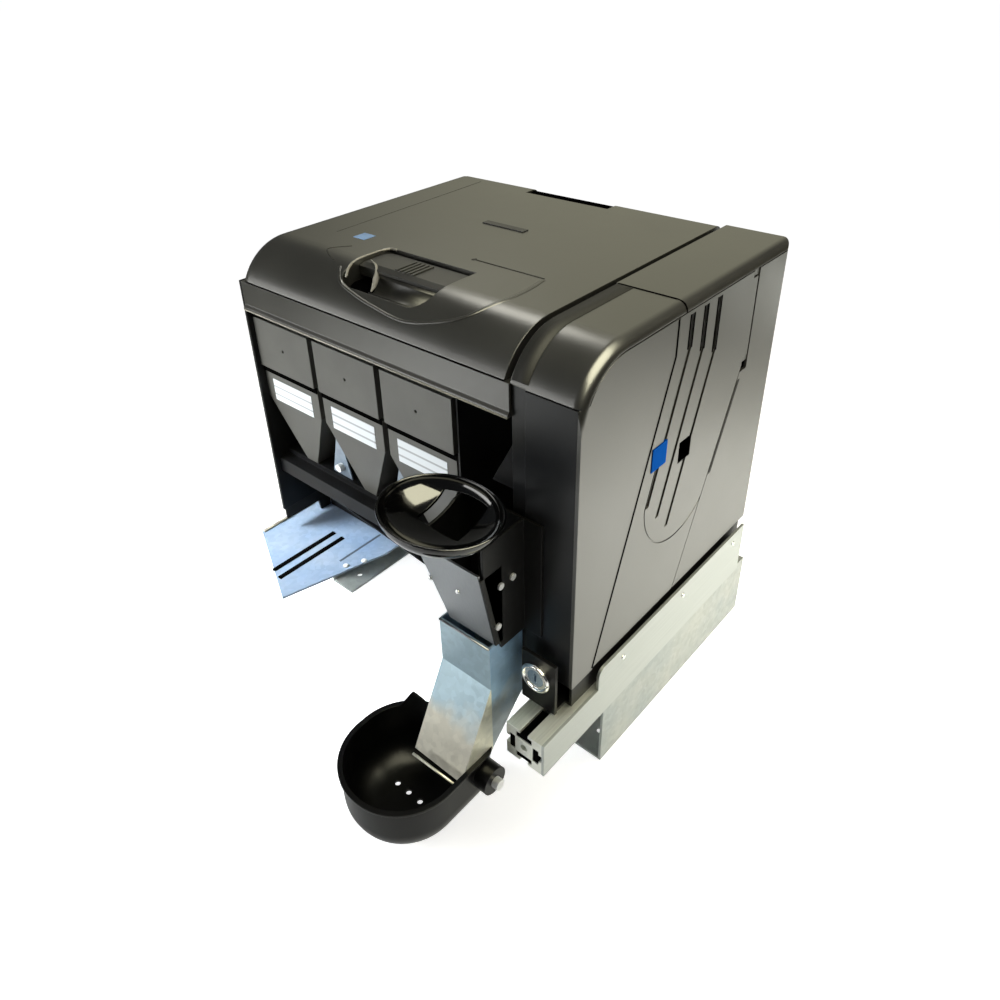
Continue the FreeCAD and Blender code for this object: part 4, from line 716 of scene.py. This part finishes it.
def makeVentShade():
    mesh = bmesh.new()
    for index in range(ventShade["count"]):
        front = ventShade["first"] + ventShade["pitch"] * index
        foot = ventShade["foot"] - ventShade["step"] * index
        for y in (front - ventShade["lip"], front + ventShade["wide"]):
            addBlock(mesh, (ventShade["from"], y, foot),
                     (ventShade["to"], y + ventShade["lip"], ventShade["top"]))
    finishPiece("ventShade", mesh, "side_door", "casing_plastic", "shadeBlack")


# Black plate painted as shade on the cut edge of the bowl's mouth, and a dark plate painted as the shadow
# under the left panel in front of the base pan
shades = {
    "edgeFrom": 266.05, "edgeTo": 266.4, "middle": -47, "rim": 165, "outer": (37.0, 20.6),
    "inner": (34.7, 18.6), "steps": 24, "foot": 141.3, "head": 155,
    "skirt": [(2, -0.2), (59, -0.2), (59, -25.7), (46, -25.7), (44, -13), (2, -13)],
    "skirtFrom": 0.4, "skirtTo": 2.8,
}


def makeShades():
    curves = []
    turns = [math.radians(90 * step / shades["steps"]) for step in range(shades["steps"] + 1)]
    for deep, tall in (shades["outer"], shades["inner"]):
        curve = [(shades["middle"] + deep * math.cos(turn), shades["rim"] - tall * math.sin(turn))
                 for turn in turns]
        curves.append([(y, z) for y, z in curve if shades["foot"] < z < shades["head"]])
    mesh = bmesh.new()
    addPlate(mesh, curves[0] + curves[1][::-1], "x", shades["edgeFrom"], shades["edgeTo"])
    finishPiece("mouthEdgeShade", mesh, "chassis", "gloss_black", "shadeBlack")
    mesh = bmesh.new()
    addPlate(mesh, shades["skirt"], "x", shades["skirtFrom"], shades["skirtTo"])
    finishPiece("panelShadow", mesh, "chassis", "black_sheet", "dullShade")


# Black blocks painted as the shade deep in the right rail's slots, seen at its front end
railSlotShade = {"half": 7.7, "near": 9.3, "far": 14.7, "front": 0.7, "rear": 30}


def makeRailSlotShade():
    mesh = bmesh.new()
    low, high = nodeBox("rail_right")
    middle = (low + high) / 2
    half, near, far = (railSlotShade[key] for key in ("half", "near", "far"))
    for left, right, foot, top in ((-half, half, near, far), (-far, -near, -half, half),
                                   (near, far, -half, half), (-half, half, -far, -near)):
        addBlock(mesh, (middle.x + left, low.y + railSlotShade["front"], middle.z + foot),
                 (middle.x + right, low.y + railSlotShade["rear"], middle.z + top))
    finishPiece("railSlotShade", mesh, "chassis", "black_sheet", "shadeBlack")


# Black side filler between the return plate and the bowl bracket, and the bright ring round the lock
fillers = {
    "side": [(-51.2, 122), (-28, 122), (-28, 46.5), (-36.4, 46.5)], "sideFrom": 331.05, "sideTo": 333.0,
    "ring": (353, -13.2, 5), "ringRadius": 12.2, "ringThick": 1.5, "ringSteps": 40,
}


def makeFillers():
    mesh = bmesh.new()
    addPlate(mesh, fillers["side"], "x", fillers["sideFrom"], fillers["sideTo"])
    finishPiece("bracketSide", mesh, "chassis", "black_sheet")
    mesh = bmesh.new()
    x, y, z = fillers["ring"]
    radius, steps = fillers["ringRadius"], fillers["ringSteps"]
    turns = [2 * math.pi * step / steps for step in range(steps + 1)]
    path = [(x + radius * math.cos(turn), y, z + radius * math.sin(turn)) for turn in turns]
    addBar(mesh, path, fillers["ringThick"], up=(0, 1, 0))
    finishPiece("lockRing", mesh, "chassis", "polished_metal", smooth=True)


# Screw heads on the back of the casing and on the right rail's side plate
screws = {
    "rear": [(x, z) for x in (14, 160, 306) for z in (10, 258)], "rearRadius": 3.2, "tall": 1.5,
    "fence": [(y, -17) for y in (70, 170, 268)], "fenceRadius": 2.4,
}


def makeScrews():
    mesh = bmesh.new()
    rear, right = nodeBox("rear_panel")[1].y, nodeBox("rail_fences")[1].x
    for x, z in screws["rear"]:
        addHead(mesh, (x, rear, z), (0, 1, 0), screws["rearRadius"], screws["tall"])
    for y, z in screws["fence"]:
        addHead(mesh, (right, y, z), (1, 0, 0), screws["fenceRadius"], screws["tall"])
    finishPiece("panelScrews", mesh, "chassis", "polished_metal", smooth=True)


makeTrayParts()
makeBayLines()
makeSeams()
makeRailSlotShade()
makeVentShade()
makeShades()
makeFillers()
makeScrews()
print("tray, seams, shades and screws made")


# Cleats across the transport belt's upper run
cleats = {"pitch": 8.4, "end": 10, "side": 2, "tall": 1.0, "wide": 1.6, "sink": 0.1}


def makeCleats():
    mesh = bmesh.new()
    low, high = nodeBox("transport_belt")
    x = low.x + cleats["end"]
    while x < high.x - cleats["end"]:
        addBlock(mesh, (x, low.y + cleats["side"], high.z - cleats["sink"]),
                 (x + cleats["wide"], high.y - cleats["side"], high.z + cleats["tall"]))
        x += cleats["pitch"]
    finishPiece("beltCleats", mesh, "chassis", "belt_rubber")


# Parts on the control board: chips, capacitors and a row of sockets
board = {
    "chips": ((14, 30, 16), (44, 44, 12), (20, 78, 20), (52, 90, 14)), "chipTall": 2,
    "cans": ((66, 20), (66, 34), (12, 108)), "canRadius": 5, "canTall": 9, "canEdge": 0.8,
    "sockets": 5, "socketFirst": 8, "socketPitch": 14, "socketWide": 10, "socketFoot": 4, "socketTop": 11,
    "socketTall": 6, "edge": 0.3, "sink": 0.1,
}


def makeBoardParts():
    corner = nodeBox("control_board")[0]
    edge, sink = board["edge"], board["sink"]
    mesh = bmesh.new()
    for across, up, side in board["chips"]:
        x, z = corner.x + across, corner.z + up
        addBlock(mesh, (x, corner.y - board["chipTall"], z), (x + side, corner.y + sink, z + side), edge,
                 segments=1)
    finishPiece("boardChips", mesh, "chassis", "inlet_black", "chipBlack")
    mesh = bmesh.new()
    radius, tall, lip = board["canRadius"], board["canTall"], board["canEdge"]
    can = [(0, -sink), (radius, -sink), (radius, tall - lip), (radius - lip, tall), (0, tall)]
    for across, up in board["cans"]:
        addTurned(mesh, can, (corner.x + across, corner.y, corner.z + up), (0, -1, 0))
    finishPiece("boardCans", mesh, "chassis", "polished_metal", "tinned")
    mesh = bmesh.new()
    for index in range(board["sockets"]):
        x = corner.x + board["socketFirst"] + board["socketPitch"] * index
        foot, top = corner.z + board["socketFoot"], corner.z + board["socketTop"]
        addBlock(mesh, (x, corner.y - board["socketTall"], foot),
                 (x + board["socketWide"], corner.y + sink, top), edge, segments=1)
    finishPiece("boardSockets", mesh, "chassis", "white_acetal")


makeCleats()
makeBoardParts()
print("inner parts made")


# Stage: a floor that looks white, keeps the shadow and has bright patches for reflections, a sky and lamps
# Its sizes and places are in metres in the frame
stage = {
    "floorSize": 60.0, "floorRough": 0.8, "glow": 0.72, "nearFloor": 0.45, "farFloor": 1.5,
    "nearTone": (0.9, 0.9, 0.9), "farTone": (0.08, 0.08, 0.075), "mirrorTint": (0.985, 1, 0.91),
    "shines": [{"spot": (0.42, 0.22, 0), "power": 1.3, "near": 0.12, "far": 0.78},
               {"spot": (-0.50, -0.70, 0), "power": 1.0, "near": 0.1, "far": 0.42},
               {"spot": (0.52, 1.12, 0), "power": 2.4, "near": 0.05, "far": 0.34}],
    "dark": (0.10, 0.105, 0.11), "bright": (1.12, 1.09, 0.80), "skyAxis": (-0.42, 0.80, 0.40),
    "skyStart": 0.84, "ambient": 0.72,
}
lamps = {
    "topBox": {"power": 12, "size": (1.3, 1.3), "place": (0.2, 0.6, 1.7),
               "aim": (0, 0, 0.3), "colour": (1, 0.97, 0.9), "mirrored": False},
    "creamCard": {"power": 36, "size": (1.0, 1.0), "place": (0.56, -0.22, 1.15),
                  "aim": (0.06, -0.22, 0.29), "colour": (1, 0.96, 0.70), "mirrored": True},
    "leftSpot": {"power": 2.2, "size": (0.28, 0.28), "place": (-0.57, 0.42, 1.23),
                 "aim": (0.13, -0.13, 0.42), "colour": (1, 0.98, 0.88), "mirrored": True},
    "lowSide": {"power": 1.9, "size": (0.75, 0.12), "place": (0.47, 0.14, 0.03),
                "aim": (0.19, 0.08, 0.18), "colour": (1, 1, 0.93), "mirrored": False},
    "rearGlow": {"power": 2.5, "size": (0.3, 0.3), "place": (0.75, 0.5, 0.6),
                 "aim": (0.19, 0.12, 0.38), "colour": (1, 0.88, 0.6), "mirrored": False},
    "frontCard": {"power": 12.0, "size": (1.4, 0.45), "place": (-0.85, -1.35, 0.5),
                  "aim": (0, -0.15, 0.35), "colour": (1, 1, 0.97), "mirrored": True},
    "frontFill": {"power": 7.0, "size": (0.4, 0.4), "place": (-0.45, -0.85, 0.32),
                  "aim": (-0.1, -0.18, 0.2), "colour": (0.97, 0.99, 1), "mirrored": False},
    "trayLamp": {"power": 0.3, "size": (0.15, 0.15), "place": (-0.42, -0.45, 0.5),
                 "aim": (-0.15, -0.2, 0.11), "colour": (0.92, 0.97, 1), "mirrored": False, "spread": 0.6},
}


def makeLamps():
    for name, lamp in lamps.items():
        data = bpy.data.lights.new(name, "AREA")
        data.energy = lamp["power"]
        data.color = lamp["colour"]
        data.shape = "RECTANGLE"
        data.size, data.size_y = lamp["size"]
        data.spread = lamp.get("spread", math.pi)
        item = bpy.data.objects.new(name, data)
        item.location = lamp["place"]
        ahead = Vector(lamp["aim"]) - Vector(lamp["place"])
        item.rotation_euler = ahead.to_track_quat("-Z", "Y").to_euler()
        item.visible_camera = False
        item.visible_glossy = lamp["mirrored"]
        item.visible_diffuse = not lamp["mirrored"]
        bpy.context.scene.collection.objects.link(item)


def makeFloor():
    mesh = bmesh.new()
    bmesh.ops.create_grid(mesh, x_segments=1, y_segments=1, size=stage["floorSize"] / 2)
    data = bpy.data.meshes.new("floor")
    mesh.to_mesh(data)
    mesh.free()
    floor = bpy.data.objects.new("floor", data)
    bpy.context.scene.collection.objects.link(floor)
    material, tree, shader, coords = startMaterial("paleFloor")
    reach = tree.nodes.new("ShaderNodeVectorMath")
    reach.operation = "LENGTH"
    tree.links.new(coords.outputs["Object"], reach.inputs[0])
    fade = spreadNode(tree, reach.outputs["Value"], 0.0, 1.0, stage["nearFloor"], stage["farFloor"])
    tone = rampNode(tree, fade.outputs["Result"], stage["nearTone"], stage["farTone"], start=0.0, end=1.0)
    tree.links.new(tone.outputs["Color"], shader.inputs["Base Color"])
    shader.inputs["Roughness"].default_value = stage["floorRough"]
    shader.inputs["Specular IOR Level"].default_value = 0.0
    path = tree.nodes.new("ShaderNodeLightPath")
    tint = rampNode(tree, path.outputs["Is Glossy Ray"], (1, 1, 1), stage["mirrorTint"], start=0.0, end=1.0)
    tree.links.new(tint.outputs["Color"], shader.inputs["Emission Color"])
    white = spreadNode(tree, fade.outputs["Result"], stage["glow"], 1.0)
    total = mathNode(tree, "MULTIPLY", path.outputs["Is Camera Ray"], white.outputs["Result"])
    for shine in stage["shines"]:
        gap = tree.nodes.new("ShaderNodeVectorMath")
        gap.operation = "DISTANCE"
        gap.inputs[1].default_value = shine["spot"]
        tree.links.new(coords.outputs["Object"], gap.inputs[0])
        strength = spreadNode(tree, gap.outputs["Value"], shine["power"], 0.0, shine["near"], shine["far"])
        part = mathNode(tree, "MULTIPLY", path.outputs["Is Glossy Ray"], strength.outputs["Result"])
        total = mathNode(tree, "ADD", total, part)
    tree.links.new(total, shader.inputs["Emission Strength"])
    data.materials.append(material)


def makeSky():
    world = bpy.data.worlds.new("studio")
    bpy.context.scene.world = world
    world.use_nodes = True
    tree = world.node_tree
    ambient = tree.nodes["Background"]
    ambient.inputs["Strength"].default_value = stage["ambient"]
    coords = tree.nodes.new("ShaderNodeTexCoord")
    lean = tree.nodes.new("ShaderNodeVectorMath")
    lean.operation = "DOT_PRODUCT"
    lean.inputs[1].default_value = Vector(stage["skyAxis"]).normalized()
    tree.links.new(coords.outputs["Generated"], lean.inputs[0])
    rise = rampNode(tree, lean.outputs["Value"], stage["dark"], stage["bright"], stage["skyStart"], end=1.0)
    tree.links.new(rise.outputs["Color"], ambient.inputs["Color"])
    backdrop = tree.nodes.new("ShaderNodeBackground")
    backdrop.inputs["Color"].default_value = (1, 1, 1, 1)
    path = tree.nodes.new("ShaderNodeLightPath")
    choice = tree.nodes.new("ShaderNodeMixShader")
    tree.links.new(path.outputs["Is Camera Ray"], choice.inputs["Fac"])
    tree.links.new(ambient.outputs["Background"], choice.inputs[1])
    tree.links.new(backdrop.outputs["Background"], choice.inputs[2])
    tree.links.new(choice.outputs["Shader"], tree.nodes["World Output"].inputs["Surface"])


# Camera: its place from the casing's corner, its turn, and its focal length and centre in picture points
camera = {"place": (640.5, -376.3, 522.8), "azimuth": 43.04, "elevation": 31.48, "roll": 2.24,
          "focal": 824.9, "centreX": 478.4, "centreY": 431.5, "frame": 1000, "sensor": 36, "nearest": 0.01}


def makeCamera():
    data = bpy.data.cameras.new("photoCamera")
    item = bpy.data.objects.new("photoCamera", data)
    bpy.context.scene.collection.objects.link(item)
    around, above, roll = (math.radians(camera[key]) for key in ("azimuth", "elevation", "roll"))
    ahead = Vector((-math.sin(around) * math.cos(above), math.cos(around) * math.cos(above),
                    -math.sin(above)))
    level = Vector((math.cos(around), math.sin(around), 0))
    upright = level.cross(ahead)
    right = level * math.cos(roll) - upright * math.sin(roll)
    up = upright * math.cos(roll) + level * math.sin(roll)
    turn = Matrix((right, up, -ahead)).transposed()
    item.matrix_world = Matrix.Translation(spot(*camera["place"])) @ turn.to_4x4()
    data.sensor_width = camera["sensor"]
    data.lens = camera["sensor"] * camera["focal"] / camera["frame"]
    data.shift_x = 0.5 - camera["centreX"] / camera["frame"]
    data.shift_y = camera["centreY"] / camera["frame"] - 0.5
    data.clip_start = camera["nearest"]
    bpy.context.scene.camera = item


makeFloor()
makeSky()
makeLamps()
makeCamera()
bpy.context.scene.view_settings.view_transform = "Standard"
print("stage and camera made")
